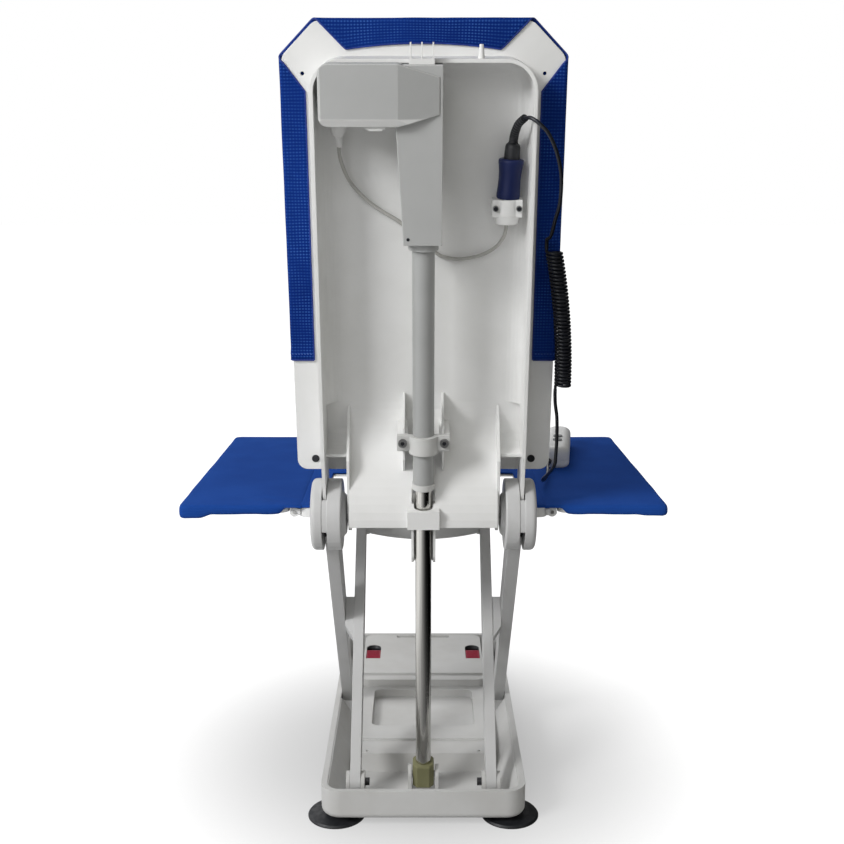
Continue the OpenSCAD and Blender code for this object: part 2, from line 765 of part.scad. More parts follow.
// Upper handset shell with two button holes
button_y = [-62, -92];
module handset_upper() {
    half = handset_w / 2;
    color(plastic) on_handset() difference() {
        pod(half, handset_len) upper_section(0);
        difference() {
            pod(half - skin, handset_len) upper_section(skin);
            box([-half, -2 * skin, 0], [half, 1, handset_h]);
            box([-half, -handset_len - 1, 0], [half, -handset_len + 2 * skin, handset_h]);
        }
        for (y = button_y) translate([0, y, split_z]) cylinder(d = button_d + 2 * gap, h = handset_h);
        translate([relief_x, 1, relief_z]) rotate([90, 0, 0]) cylinder(d = 7 + 2 * fit, h = half + 10);
    }
}

// Circuit board with two switches
module handset_board() {
    color("seagreen") on_handset() {
        box([-16, -145, board_z], [16, -35, board_z + 1.6]);
        for (y = button_y) translate([0, y, board_z + 1]) cylinder(d = 8, h = 6);
    }
}

// Cord's strain relief at the handset
module handset_relief() {
    color(rubber) on_handset() translate([relief_x, 0, relief_z]) rotate([-90, 0, 0]) {
        translate([0, 0, -12]) cylinder(d = 7, h = 13);
        translate([0, 0, 1]) cylinder(d1 = 11, d2 = 8, h = relief_len - 1);
    }
}

// Handset button with a retaining flange
button_travel = 1.5;
module button(y) {
    flange_z = handset_h - skin - gap - 1.6;
    color(grey) on_handset() translate([0, y, 0]) {
        translate([0, 0, flange_z]) cylinder(d = button_d + 4, h = 1.6);
        translate([0, 0, flange_z]) cylinder(d = button_d, h = handset_h + 2.2 - flange_z);
        translate([0, 0, board_z + 7 + button_travel + gap])
            cylinder(d = 6, h = flange_z - board_z - 7 - button_travel - gap + 0.5);
    }
}
module up_button() { button(button_y[1]); }
module down_button() { button(button_y[0]); }

// Outline of the back shell: round lower corners and clipped upper ones
module shell_outline(grow) {
    half = shell_half + grow;
    top = shell_top + grow;
    clip = 38;
    r = 15;
    polygon(concat(arc(-half + r, shell_low + r, r, 180, 270), arc(half - r, shell_low + r, r, 270, 360),
        arc(half - 16, top - clip - 12, 16, 0, 45, 4), arc(half - clip - 12, top - 16, 16, 45, 90, 4),
        arc(-half + clip + 12, top - 16, 16, 90, 135, 4), arc(-half + 16, top - clip - 12, 16, 135, 180, 4)));
}

// Back shell: the broad panel that the fabric is pulled over
hole_x = 158;
plug_hole_t = shell_low + 17;
module back_shell() {
    color(plastic) on_back() difference() {
        y_plate(shell_n - shell_t, shell_n) shell_outline(0);
        both() translate([hole_x, shell_n + 1, plug_hole_t]) rotate([90, 0, 0])
            cylinder(d = 8 + 2 * fit, h = shell_t + 2);
        both() translate([hole_x, shell_n + 1, shell_top - 65]) rotate([90, 0, 0])
            cylinder(d = 5, h = shell_t + 2);
    }
}

// Dark plugs in the shell's lower corners
module shell_plugs() {
    color(rubber) on_back() both() translate([hole_x, shell_n, plug_hole_t]) rotate([90, 0, 0]) {
        translate([0, 0, -1.5]) cylinder(d = 11, h = 1.5);
        cylinder(d = 8, h = shell_t - 1);
    }
}

// Rear face of the apron at height t: an S-curve from the tray's floor to behind the hinge
apron_top = 165;
apron_n = 47;
function apron(t) = let (s = 1 - t / apron_top) floor_n + (apron_n - floor_n) * s * s * (3 - 2 * s);

// Concave fillet between the tray's floor and a wall
cove_r = 22;
module cove_outline() {
    polygon(concat([[0, 0]], arc(-cove_r, cove_r, cove_r, 270, 360, 6)));
}

// Back tray: floor, walls with coves, hinge cheeks, apron, rod guide and clamp saddle
module back_tray() {
    corner = 40;
    in_half = tray_half - tray_wall;
    shelf_t = 100;
    shelf_r = 24;
    guide_half = 17.5;
    guide_low = -61;
    guide_top = 45;
    color(plastic) on_back() difference() {
        union() {
            difference() {
                y_plate(shell_n, rim_n)
                    polygon(round_rect(-tray_half, shelf_t, tray_half, tray_top, 0.5, corner));
                y_plate(floor_n, rim_n + 1) polygon(round_rect(-in_half, shelf_t - 9, in_half,
                    tray_top - tray_wall, 0.5, corner - tray_wall));
                box([-gusset_in, shell_n - 1, 0], [gusset_in, floor_n + 1, apron_top]);
            }
            tray_coves(in_half, corner - tray_wall, apron_top);
            both() hinge_cheek();
            both() gusset();
            both() box([gusset_in, shell_n, shelf_t - 4], [cheek_in + 1, 14, shelf_t]);
            both() x_plate(gusset_in + 1, cheek_in + 1) polygon(concat([[floor_n - 1, shelf_t - 1]],
                arc(floor_n + shelf_r, shelf_t + shelf_r, shelf_r, 270, 180, 6)));
            x_plate(-gusset_in - 1, gusset_in + 1) polygon(concat(
                [for (t = [0 : 11 : apron_top]) [apron(t), t]],
                [for (t = [apron_top : -11 : 0]) [apron(t) - tray_wall, t]]));
            rod_guide(guide_half, guide_low, guide_top);
            clamp_saddle();
            for (x = [column_right + 8, column_left - 14]) box([x, floor_n - 1, worm_t + 10],
                [x + 6, column_front, worm_t + 32]);
            translate([-72, rim_n - 6, tray_top - 1]) cylinder(d1 = 9, d2 = 5, h = 18);
        }
        translate([0, rod_n, guide_low - 1]) cylinder(d = rod_d + 5 + 2 * fit, h = guide_top - guide_low + 2);
        translate([0, rod_n, guide_top]) cylinder(d = tube_d + 3, h = apron_top);
        box([-16.5, rod_n - 6, 34], [16.5, apron_n + 9, tube_low + 14]);
        both() x_bar(gusset_in - 1, cheek_out + 1, pin_d + 2 * fit);
        both() translate([clamp_screw_x, rod_n + 1, clamp_screw_t]) rotate([90, 0, 0])
            cylinder(d = clamp_screw_d + 2 * fit, h = 24);
    }
}

// Coves along the tray's floor, round its upper corners
module tray_coves(half, r, low) {
    top = tray_top - tray_wall;
    both() translate([half, floor_n, low]) linear_extrude(top - r - low) cove_outline();
    both() translate([half - r, floor_n, top - r]) rotate([-90, 0, 0]) mirror([0, 1, 0]) translate([0, 0, 0])
        intersection() {
            rotate_extrude() translate([r, 0]) cove_outline();
            box([0, 0, 0], [r + 1, r + 1, cove_r]);
        }
    rotate([0, -90, 0]) translate([top, floor_n, -half + r]) linear_extrude(2 * (half - r)) cove_outline();
}

// Outer cheek: the tray's side wall carried down to the hinge
module hinge_cheek() {
    x_plate(cheek_in, cheek_out) {
        circle(r = hub_r);
        polygon([[-hub_r, 0], [shell_n, shell_low], [shell_n, 110], [rim_n, 110], [hub_r + 2, 60], [hub_r, 0]]);
    }
}

// Inner cheek: a tapered gusset from the tray's floor to the hinge
module gusset() {
    x_plate(gusset_in, gusset_out) {
        circle(r = hub_r - 4);
        polygon([[-hub_r + 4, 0], [shell_n, shell_low], [shell_n, apron_top - 5],
            [floor_n, apron_top - 5], [4, apron_top - 40], [hub_r, 95], [hub_r + 2, 50], [hub_r - 4, 0]]);
    }
}

// Rod guide: a channel in front of the rod and a bridge behind it
module rod_guide(half, low, top) {
    bridge_half = 23;
    bridge_n = apron_n + 7;
    box([-half, rod_n - 26, low + 9], [half, rod_n + 4, top]);
    x_plate(-half, half)
        polygon([[rod_n - 26, low + 10], [rod_n - 18, low], [rod_n, low], [rod_n + 4, low + 10]]);
    box([-bridge_half, apron_n - 10, 0], [bridge_half, bridge_n, 28]);
}

// Saddle under the drive tube: two ribs and two screw bosses
module clamp_saddle() {
    top = clamp_low + clamp_h;
    both() {
        x_plate(26, 29) polygon([[shell_n, top + 40], [floor_n + 4, top + 40], [rod_n - 2, top + 8],
            [rod_n - 2, clamp_low - 14], [apron(clamp_low - 40) - 3, clamp_low - 40], [shell_n, apron_top]]);
        box([22, -4, clamp_low], [37, rod_n - 1, top]);
        box([22, floor_n - 2, top - 6], [37, rod_n - 1, top]);
    }
}

// Fabric on the backrest: a sleeve round the shell with open upper corners
module back_cover() {
    half = shell_half + back_cover_t;
    wing = tray_half + 5;
    band = 46;
    front = shell_n - shell_t - back_cover_t;
    color(fabric) on_back() difference() {
        y_plate(front, shell_n + back_cover_t) shell_outline(back_cover_t);
        y_plate(front + back_cover_t, shell_n) shell_outline(0.05);
        box([-half - 1, front - 1, 0], [half + 1, shell_n + back_cover_t + 1, hem_t]);
        box([-wing, shell_n - 1, 0], [wing, shell_n + back_cover_t + 1, tray_top + 8]);
        both() corner_opening(band);
    }
}

// Opening of the cover over an upper corner of the shell, on the rear only
module corner_opening(band) {
    y_plate(shell_n - 0.5, shell_n + back_cover_t + 1) polygon([[shell_half + 9, shell_top - 52],
        [tray_half, shell_top - 100], [tray_half - 32, shell_top - band + 4],
        [shell_half - 48, shell_top + 9], [shell_half + 9, shell_top + 9]]);
}

// Drive column: a tapered hollow housing over the tube's upper end
column_right = -24;
column_left = 35;
column_rear = 62;
column_front = rod_n - tube_d / 2 - 9;
module column_block() {
    x_taper = 9;
    y_plate(column_front, column_rear) polygon([[column_right, column_low], [column_left - x_taper, column_low],
        [column_left, motor_low], [column_left, motor_top], [column_right, motor_top]]);
}
module drive_column() {
    color(housing) on_back() difference() {
        union() {
            column_block();
            translate([0, rod_n, column_low - 10]) cylinder(d = tube_d + 10, h = 12);
        }
        translate([0, rod_n, column_low - 11])
            cylinder(d = tube_d + 2 * fit, h = tube_top - column_low + 11 + gap);
        translate([0, rod_n, tube_top]) cylinder(d = rod_d + 3, h = motor_low - tube_top - 8);
        translate([0, rod_n, worm_t - 9]) cylinder(d = 41, h = 18);
        translate([0, rod_n, motor_low - 20]) cylinder(d = spindle_d + 2 * fit, h = 66);
        x_bar(2, column_left + 1, 18, rod_n - worm_offset, worm_t);
    }
}

// Motor box: a shell behind the tray's rim, its nose tapered over the column, with a
// narrower well inside the tray for the motor
worm_offset = 26;
well_n = floor_n + 9;
well_inset = 9;
module box_solid(i) {
    nose = column_right + 4 + i;
    flat = 32;
    r = 12;
    outer = tray_half - tray_wall - 9 - i;
    edge = 2.5;
    lip = 9;
    low = motor_low + i;
    top = box_top - i;
    rear = motor_rear - i;
    front = rim_n + 1.5;
    well_out = tray_half - tray_wall - 2 - well_inset - i;
    well_top = top - well_inset;
    intersection() {
        y_plate(front, rear) polygon(concat([[nose, low + 14], [flat, low]],
            arc(outer - r, low + r, r, 270, 360, 5), arc(outer - r, top - r, r, 0, 90, 5),
            [[flat, top], [nose, top - 16]]));
        translate([0, 0, low - 1]) linear_extrude(top - low + 2) polygon([[nose, front - 1], [outer, front - 1],
            [outer, rear - edge], [outer - edge, rear], [flat, rear], [nose, column_rear + 1]]);
        x_plate(nose - 1, outer + 1) polygon([[front - 1, low - 1], [rear - lip / 2, low - 1],
            [rear - lip / 2, low], [rear, low + lip], [rear, top + 1], [front - 1, top + 1]]);
    }
    y_plate(well_n + i, front + 2 * i + 0.5) polygon([[column_left, low], [well_out - 10, low],
        [well_out, low + 8], [well_out, well_top - 18], [well_out - 18, well_top], [column_left, well_top]]);
}
module motor_box() {
    color(housing) on_back() difference() {
        box_solid(0);
        difference() {
            box_solid(3);
            box([column_right - 1, floor_n - 1, motor_low], [column_left + 4, motor_rear, motor_top]);
        }
        box([column_right - 1, floor_n - 1, motor_low - 1],
            [column_left + fit, column_rear + fit, motor_top + fit]);
        translate([gland_x, gland_n, motor_low - 1]) cylinder(d = 12 + 2 * fit, h = 8);
        x_bar(column_left - 1, column_left + 8, 18, rod_n - worm_offset, worm_t);
    }
    color(housing) on_back() box_clip();
}

// Clip of the motor box's lid, below its rear edge
module box_clip() {
    x = column_left + 12;
    box([x, motor_rear - 12, motor_low - 3], [x + 26, motor_rear - 7, motor_low + 1]);
    box([x + 4, motor_rear - 10, motor_low - 5], [x + 22, motor_rear - 7, motor_low - 2]);
}

// Motor with its worm
module motor() {
    end = tray_half - tray_wall - well_inset - 12;
    color(steel) on_back() translate([0, rod_n - worm_offset, worm_t]) {
        x_bar(column_left + 7.5, end, motor_d);
        x_bar(column_left + 4.5, column_left + 8, 18 - 2 * fit);
        x_bar(column_left - 4, column_left + 5, 8);
        x_bar(column_left / 2 - 8, column_left - 4, 12);
    }
}

// Worm wheel on the spindle
module worm_wheel() {
    teeth = 24;
    r = 19.5;
    color(olive) on_back() translate([0, rod_n, worm_t - 8]) linear_extrude(16) difference() {
        polygon([for (k = [0 : 4 * teeth - 1]) let (a = 90 * k / teeth, q = k % 4 < 2 ? r : r - 2.4)
            q * [cos(a), sin(a)]]);
        circle(d = spindle_d + 2 * fit);
    }
}

// Lead screw inside the hollow rod
module spindle() {
    low = tube_low + 45;
    color(steel) on_back() translate([0, rod_n, low]) cylinder(d = spindle_d, h = worm_t + 14 - low);
}

// Outer tube of the drive
module drive_tube() {
    color(housing) on_back() translate([0, rod_n, tube_low + ring_h]) difference() {
        cylinder(d = tube_d, h = tube_top - tube_low - ring_h);
        translate([0, 0, -1]) cylinder(d = rod_d + 2, h = tube_top);
    }
}

// Wiper ring at the tube's lower end
module tube_ring() {
    color(plastic) on_back() translate([0, rod_n, tube_low]) difference() {
        cylinder(d = tube_d + 2, h = ring_h);
        translate([0, 0, -1]) cylinder(d = rod_d + 2 * fit, h = ring_h + 2);
    }
}

// Strap that clamps the tube to its saddle
module tube_clamp() {
    color(plastic) on_back() difference() {
        union() {
            translate([0, rod_n, clamp_low]) cylinder(d = tube_d + 12, h = clamp_h);
            box([-37, rod_n - 1, clamp_low + 5], [37, rod_n + 8, clamp_low + clamp_h]);
        }
        box([-40, rod_n - 40, clamp_low - 1], [40, rod_n - 1, clamp_low + clamp_h + 1]);
        translate([0, rod_n, clamp_low - 1]) cylinder(d = tube_d + 2 * fit, h = clamp_h + 2);
        both() translate([clamp_screw_x, rod_n + 20, clamp_screw_t]) rotate([90, 0, 0])
            cylinder(d = clamp_screw_d + 2 * fit, h = 30);
    }
}

// A screw along -n, from the underside of its head
module screw(d, len) {
    rotate([90, 0, 0]) {
        cylinder(d = d, h = len);
        translate([0, 0, -4]) difference() {
            cylinder(d = 1.9 * d, h = 4);
            translate([0, 0, -1]) cylinder(d = d, h = 3, $fn = 6);
        }
    }
}

// Screws of the tube clamp and of the socket clamp
socket_x = plug_x;
socket_half = 20;
socket_low = plug_t - 33;
socket_rear = 5;
module bracket_screws() {
    color(steel) on_back() {
        both() translate([clamp_screw_x, rod_n + 8, clamp_screw_t]) screw(clamp_screw_d, 22);
        for (x = [-15.5, 15.5]) translate([socket_x + x, socket_rear, socket_low + 22]) screw(4, 12);
    }
}

// Bracket with three fins at the head of the column
module top_bracket() {
    color(plastic) on_back() {
        box([-14, rod_n + 2, motor_top], [18, rod_n + 16, motor_top + 7]);
        for (x = [-12, 2, 16]) x_plate(x - 1, x + 1) polygon([[rod_n + 3, motor_top + 6],
            [rod_n + 15, motor_top + 6], [rod_n + 10, motor_top + 26], [rod_n + 7, motor_top + 26]]);
    }
}

// Liner of the rod guide
module guide_bush() {
    low = 1;
    h = 25;
    color(grey) on_back() translate([0, rod_n, low]) difference() {
        cylinder(d = rod_d + 5, h = h);
        translate([0, 0, -1]) cylinder(d = rod_d + 2 * fit, h = h + 2);
    }
}

// Cable gland under the motor box
module motor_gland() {
    color(plastic) on_back() translate([gland_x, gland_n, motor_low]) difference() {
        union() {
            translate([0, 0, -10]) cylinder(d1 = 13, d2 = 21, h = 10);
            translate([0, 0, -19]) cylinder(d = 10, h = 11);
            cylinder(d = 12, h = 6);
        }
        translate([0, 0, -20]) cylinder(d = cable_d + 2 * fit, h = 13);
    }
}

// Motor cable to the socket
module motor_cable() {
    route = concat([[gland_x, gland_n, motor_low - 8]], spline(cable_points, 3),
        [[socket_x, plug_n, socket_low]]);
    color(grey) on_back() sweep(route, cable_d, 10);
}

// Clamp that holds the socket, on the tray's floor
module socket_clamp() {
    z = socket_low;
    color(plastic) on_back() difference() {
        union() {
            box([socket_x - socket_half, floor_n + 7, z + 10], [socket_x + socket_half, socket_rear, plug_t]);
            translate([socket_x, plug_n, z]) cylinder(d1 = 30, d2 = 35, h = 12);
            box([socket_x - 5, floor_n, z + 4], [socket_x + 5, plug_n, plug_t]);
            translate([socket_x, plug_n, z + 10]) cylinder(d = 34, h = plug_t - z - 10);
        }
        for (x = [-15.5, 15.5]) translate([socket_x + x, socket_rear + 1, z + 22]) rotate([90, 0, 0])
            cylinder(d = 4 + 2 * fit, h = 14);
    }
}

// Plug of the handset's cord: a waisted grip
module cord_plug() {
    waist = [for (i = [0 : 10]) let (s = i / 10)
        [15.5 - 2.2 * sin(180 * s) + 0.6 * s, 1 + (plug_len - 3) * s]];
    outline = concat([[0, 0], [15.5, 0]], waist, [[14, plug_len], [0, plug_len]]);
    color(navy) on_back() translate([plug_x, plug_n, plug_t]) rotate_extrude() polygon(outline);
}

// Flexible boot of the plug, bent towards the side
plug_len = 52;
boot_low = plug_t + plug_len;
lead_step = lead_points[1] - lead_points[0];
boot_points = [[plug_x, plug_n, boot_low + 10], [plug_x, plug_n, boot_low + 20],
    [plug_x - 1, plug_n + 3, boot_low + 34], lead_points[0] - 0.7 * lead_step];
boot_d = 12;
module plug_boot() {
    color(rubber) on_back() {
        translate([plug_x, plug_n, boot_low]) cylinder(d = 20, h = 18);
        translate([plug_x, plug_n, boot_low + 18]) cylinder(d1 = 20, d2 = boot_d + 1, h = 8);
        sweep(concat(spline(boot_points, 3), [lead_points[0]]), boot_d, 12);
    }
}

// Cord from the boot over the tray's rim to the curls
curl_top = curl_low + curl_count * curl_pitch;
curl_r = (curl_d - wire_d) / 2;
function curl_axis(s) = curl_x - curl_sway * s * (2 - s);
function curl_point(k) = let (a = 45 * k)
    [curl_axis(k / 8 / curl_count) + curl_r * cos(a), curl_n + curl_r * sin(a), curl_top - curl_pitch * k / 8];
curl_points = [for (k = [0 : 8 * curl_count]) curl_point(k)];
curl_gap = min([for (k = [0 : 8]) norm(curl_points[k + 8] - curl_points[k]) - wire_d]);
echo(str("least gap between curls ", curl_gap));
curl_start = curl_points[0] + [0, 0, wire_d];
curl_stop = curl_points[8 * curl_count] - [0, 0, wire_d];
module cord_lead() {
    route = concat([lead_points[0] + 0.3 * lead_step], [for (i = [1 : len(lead_points) - 1]) lead_points[i]],
        [curl_start + [0, 0, 12]]);
    color(rubber) on_back() sweep(concat([lead_points[0]], spline(route, 3), [curl_start]), cord_d, 10);
}

// The curls, one unbroken tube
module cord_curl() {
    color(rubber) on_back() sweep(concat([curl_start], curl_points, [curl_stop]), wire_d, 6);
}

// Cord from the curls down to the seat
module cord_drop() {
    color(rubber) on_back()
        sweep(concat([curl_stop], spline(concat([curl_stop - [0, 0, 8]], drop_points), 3)), cord_d, 10);
}

// Last stretch of the cord, from the backrest's edge to the handset
module cord_end() {
    relief = handset_point(relief_x, relief_len, relief_z);
    lead_in = handset_point(relief_x, relief_len + 8, relief_z);
    route = concat(spline(concat(end_points, [lead_in]), 3), [relief]);
    color(rubber) place() sweep(route, cord_d, 10);
}

// Hollow lift rod
module rod() {
    color(steel) on_back() translate([0, rod_n, foot_t + 12]) difference() {
        cylinder(d = rod_d, h = rod_top - foot_t - 12);
        translate([0, 0, 20]) cylinder(d = spindle_d + 4, h = rod_top - foot_t);
        translate([0, 0, rod_top - foot_t - 12 - nut_len])
            cylinder(d = spindle_d + 6 + 2 * fit, h = nut_len + 1);
    }
}

// Foot of the rod: a block with chamfered upright edges
module rod_foot() {
    half = saddle_in - 1.5;
    cut = 7;
    low = -15;
    top = 24;
    block = [for (q = [0 : 3], side = [0, 1]) let (a = 90 * q) [[cos(a), -sin(a)], [sin(a), cos(a)]]
        * (side == 0 ? [half, -half + cut] : [half, half - cut])];
    color(olive) on_back() translate([0, rod_n, foot_t]) difference() {
        union() {
            translate([0, 0, low]) linear_extrude(top - low - 3) polygon(block);
            translate([0, 0, top - 3]) linear_extrude(3, scale = 0.9) polygon(block);
        }
        translate([0, 0, 12]) cylinder(d = rod_d + 2 * fit, h = 20);
        x_bar(-20, 20, pin_d + 2 * fit);
    }
}

// Trunnion pin through the foot
module foot_pin() {
    half = saddle_in + saddle_t;
    color(steel) on_back() translate([0, rod_n, foot_t]) x_bar(-half, half, pin_d);
}

// Nut in the rod's upper end
module drive_nut() {
    color(olive) on_back() translate([0, rod_n, rod_top - nut_len]) difference() {
        cylinder(d = spindle_d + 6, h = nut_len);
        translate([0, 0, -1]) cylinder(d = spindle_d + 2 * fit, h = nut_len + 2);
    }
}

base_tray();
front_deck();
suction_cup_rear_left();
suction_cup_rear_right();
suction_cup_front_left();
suction_cup_front_right();
base_pins();
catch_left();
catch_right();
inner_arm_left();
inner_arm_right();
arm_web();
crossing_pins();
seat_sliders();
outer_arm_left();
outer_arm_right();
hinge_pins();
base_sliders();
seat_plate();
seat_cover();
flap_rods();
flap_left();
flap_right();
flap_cover_left();
flap_cover_right();
handset_lower();
handset_upper();
handset_board();
handset_relief();
up_button();
down_button();
back_shell();
back_tray();
back_cover();
shell_plugs();
motor_box();
drive_column();
motor();
worm_wheel();
spindle();
drive_tube();
tube_ring();
tube_clamp();
bracket_screws();
top_bracket();
guide_bush();
motor_gland();
motor_cable();
socket_clamp();
cord_plug();
plug_boot();
cord_lead();
cord_curl();
cord_drop();
cord_end();
rod();
rod_foot();
foot_pin();
drive_nut();
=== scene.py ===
import math

import bmesh
import bpy
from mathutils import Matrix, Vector, noise


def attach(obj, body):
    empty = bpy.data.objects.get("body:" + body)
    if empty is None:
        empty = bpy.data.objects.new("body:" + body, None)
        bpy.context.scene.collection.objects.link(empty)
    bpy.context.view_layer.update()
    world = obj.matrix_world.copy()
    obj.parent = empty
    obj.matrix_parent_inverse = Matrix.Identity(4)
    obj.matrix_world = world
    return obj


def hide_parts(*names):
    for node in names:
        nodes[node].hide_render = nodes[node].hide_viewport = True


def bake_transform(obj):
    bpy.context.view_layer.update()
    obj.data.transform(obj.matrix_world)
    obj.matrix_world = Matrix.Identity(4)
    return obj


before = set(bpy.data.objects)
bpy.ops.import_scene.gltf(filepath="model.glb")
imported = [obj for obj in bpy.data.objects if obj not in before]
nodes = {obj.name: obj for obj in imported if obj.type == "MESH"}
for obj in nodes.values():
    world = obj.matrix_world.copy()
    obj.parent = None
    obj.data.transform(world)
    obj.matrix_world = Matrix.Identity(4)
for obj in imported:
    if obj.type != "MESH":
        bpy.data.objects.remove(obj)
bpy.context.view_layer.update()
print("frame loaded:", len(nodes), "nodes")

# the backrest's own axes: x to the left, n to the rear, t up along the back, from the seat hinge (mm)
backrest = {"lean": 9.25, "hinge": (0.0, 199.452, 477.0), "rearWall": 249.452}
leanAngle = math.radians(backrest["lean"])


def onBack(x, n, t):
    hx, hy, hz = backrest["hinge"]
    y = hy + n * math.cos(leanAngle) + t * math.sin(leanAngle)
    z = hz - n * math.sin(leanAngle) + t * math.cos(leanAngle)
    return Vector((hx + x, y, z)) / 1000


def onBase(x, y, z):
    return Vector((x, y + backrest["rearWall"], z)) / 1000


# camera at the photograph's place, looking towards the rear of the backrest
view = {"place": (0.002, 1.81995, 0.9418), "pitch": 11.42, "lens": 48.89, "sensor": 36.0}
cameraData = bpy.data.cameras.new("camera")
cameraData.lens = view["lens"]
cameraData.sensor_width = view["sensor"]
cameraData.sensor_fit = "HORIZONTAL"
camera = bpy.data.objects.new("camera", cameraData)
camera.location = view["place"]
camera.rotation_euler = (math.radians(90 - view["pitch"]), 0, math.radians(180))
bpy.context.scene.collection.objects.link(camera)
bpy.context.scene.camera = camera
bpy.context.scene.view_settings.view_transform = "Standard"
print("camera set")


# materials: small helpers, then one function for each kind of finish
def startMaterial(name):
    material = bpy.data.materials.new(name)
    material.use_nodes = True
    tree = material.node_tree
    shader = tree.nodes["Principled BSDF"]
    return material, tree, shader


def addNode(tree, kind, sockets=None, **settings):
    node = tree.nodes.new(kind)
    for key, value in settings.items():
        setattr(node, key, value)
    for key, value in (sockets or {}).items():
        target = node.inputs[key]
        if isinstance(value, bpy.types.NodeSocket):
            tree.links.new(value, target)
        else:
            target.default_value = value
    return node


def mathNode(tree, operation, *values):
    return addNode(tree, "ShaderNodeMath", dict(enumerate(values)), operation=operation).outputs[0]


def alongAxis(tree, vector, axis):
    return addNode(tree, "ShaderNodeSeparateXYZ", {"Vector": vector}).outputs[axis]


# smooth ramp: low gives outLow, high gives outHigh
def rampNode(tree, value, low, high, outLow=0.0, outHigh=1.0):
    sockets = {"Value": value, "From Min": low, "From Max": high, "To Min": outLow, "To Max": outHigh}
    node = addNode(tree, "ShaderNodeMapRange", sockets, interpolation_type="SMOOTHSTEP", clamp=True)
    return node.outputs["Result"]


def mixColour(tree, factor, first, second):
    node = addNode(tree, "ShaderNodeMix", {0: factor}, data_type="RGBA")
    sockets = [s for s in node.inputs if s.type == "RGBA"]
    for socket, value in zip(sockets, (first, second)):
        if isinstance(value, bpy.types.NodeSocket):
            tree.links.new(value, socket)
        else:
            socket.default_value = (*value, 1)
    return [s for s in node.outputs if s.type == "RGBA"][0]


def noiseNode(tree, vector, scale, detail=3.0, roughness=0.5):
    settings = {"Vector": vector, "Scale": scale, "Detail": detail, "Roughness": roughness}
    return addNode(tree, "ShaderNodeTexNoise", settings).outputs["Fac"]


def objectCoordinates(tree, rotation=(0, 0, 0)):
    coordinates = addNode(tree, "ShaderNodeTexCoord").outputs["Object"]
    if rotation == (0, 0, 0):
        return coordinates
    mapping = addNode(tree, "ShaderNodeMapping", {"Vector": coordinates})
    mapping.inputs["Rotation"].default_value = rotation
    return mapping.outputs["Vector"]


# moulded plastic: faint mottling, a fine grain and softened edges
# more is for a few: shine, a painted highlight along the edges, and a lip height below which the same
# painted highlight colour covers the lip
def mouldedPlastic(name, colour, shade, roughness=0.42, grain=0.05, edge=0.0014, **more):
    material, tree, shader = startMaterial(name)
    place = objectCoordinates(tree)
    mottle = noiseNode(tree, place, scale=9, detail=4, roughness=0.55)
    fine = noiseNode(tree, place, scale=1400, detail=2)
    tint = mixColour(tree, rampNode(tree, mottle, low=0.35, high=0.7), colour, shade)
    rounded = addNode(tree, "ShaderNodeBevel", {"Radius": edge}, samples=4).outputs["Normal"]
    # painted highlight: below the lip height the whole surface takes the edge highlight colour
    if "lip" in more:
        height = alongAxis(tree, objectCoordinates(tree, (leanAngle, 0, 0)), "Z")
        blur = 0.0012
        lower = rampNode(tree, height, more["lip"] + blur, more["lip"] - blur)
        tint = mixColour(tree, lower, tint, more["rim"])
    # painted highlight: a lighter line where the bevel's rounded normal turns away from the flat one
    if "rim" in more:
        flat = addNode(tree, "ShaderNodeNewGeometry").outputs["Normal"]
        turn = addNode(tree, "ShaderNodeVectorMath", {0: rounded, 1: flat}, operation="DOT_PRODUCT")
        edgeHighlightMask = rampNode(tree, turn.outputs["Value"], low=0.999, high=0.97, outHigh=0.9)
        tint = mixColour(tree, edgeHighlightMask, tint, more["rim"])
    tree.links.new(tint, shader.inputs["Base Color"])
    scuff = noiseNode(tree, place, scale=60)
    gloss = rampNode(tree, scuff, 0.3, 0.7, outLow=roughness - 0.06, outHigh=roughness + 0.08)
    tree.links.new(gloss, shader.inputs["Roughness"])
    bumpSockets = {"Strength": grain, "Distance": 0.0004, "Height": fine, "Normal": rounded}
    bump = addNode(tree, "ShaderNodeBump", bumpSockets)
    tree.links.new(bump.outputs["Normal"], shader.inputs["Normal"])
    shader.inputs["Specular IOR Level"].default_value = more.get("shine", 0.4)
    return material


# drawn or ground metal: streaks along one axis
def metalFinish(name, colour, roughness, stretch, scale, rotation=(0, 0, 0)):
    material, tree, shader = startMaterial(name)
    sockets = {"Vector": objectCoordinates(tree, rotation), "Scale": stretch}
    place = addNode(tree, "ShaderNodeMapping", sockets).outputs["Vector"]
    streak = noiseNode(tree, place, scale, detail=4, roughness=0.6)
    dark = tuple(0.82 * c for c in colour)
    tint = mixColour(tree, rampNode(tree, streak, low=0.35, high=0.65), dark, colour)
    tree.links.new(tint, shader.inputs["Base Color"])
    shader.inputs["Metallic"].default_value = 1.0
    gloss = rampNode(tree, streak, 0.3, 0.7, outLow=roughness - 0.05, outHigh=roughness + 0.07)
    tree.links.new(gloss, shader.inputs["Roughness"])
    bump = addNode(tree, "ShaderNodeBump", {"Strength": 0.04, "Distance": 0.0003, "Height": streak})
    tree.links.new(bump.outputs["Normal"], shader.inputs["Normal"])
    return material


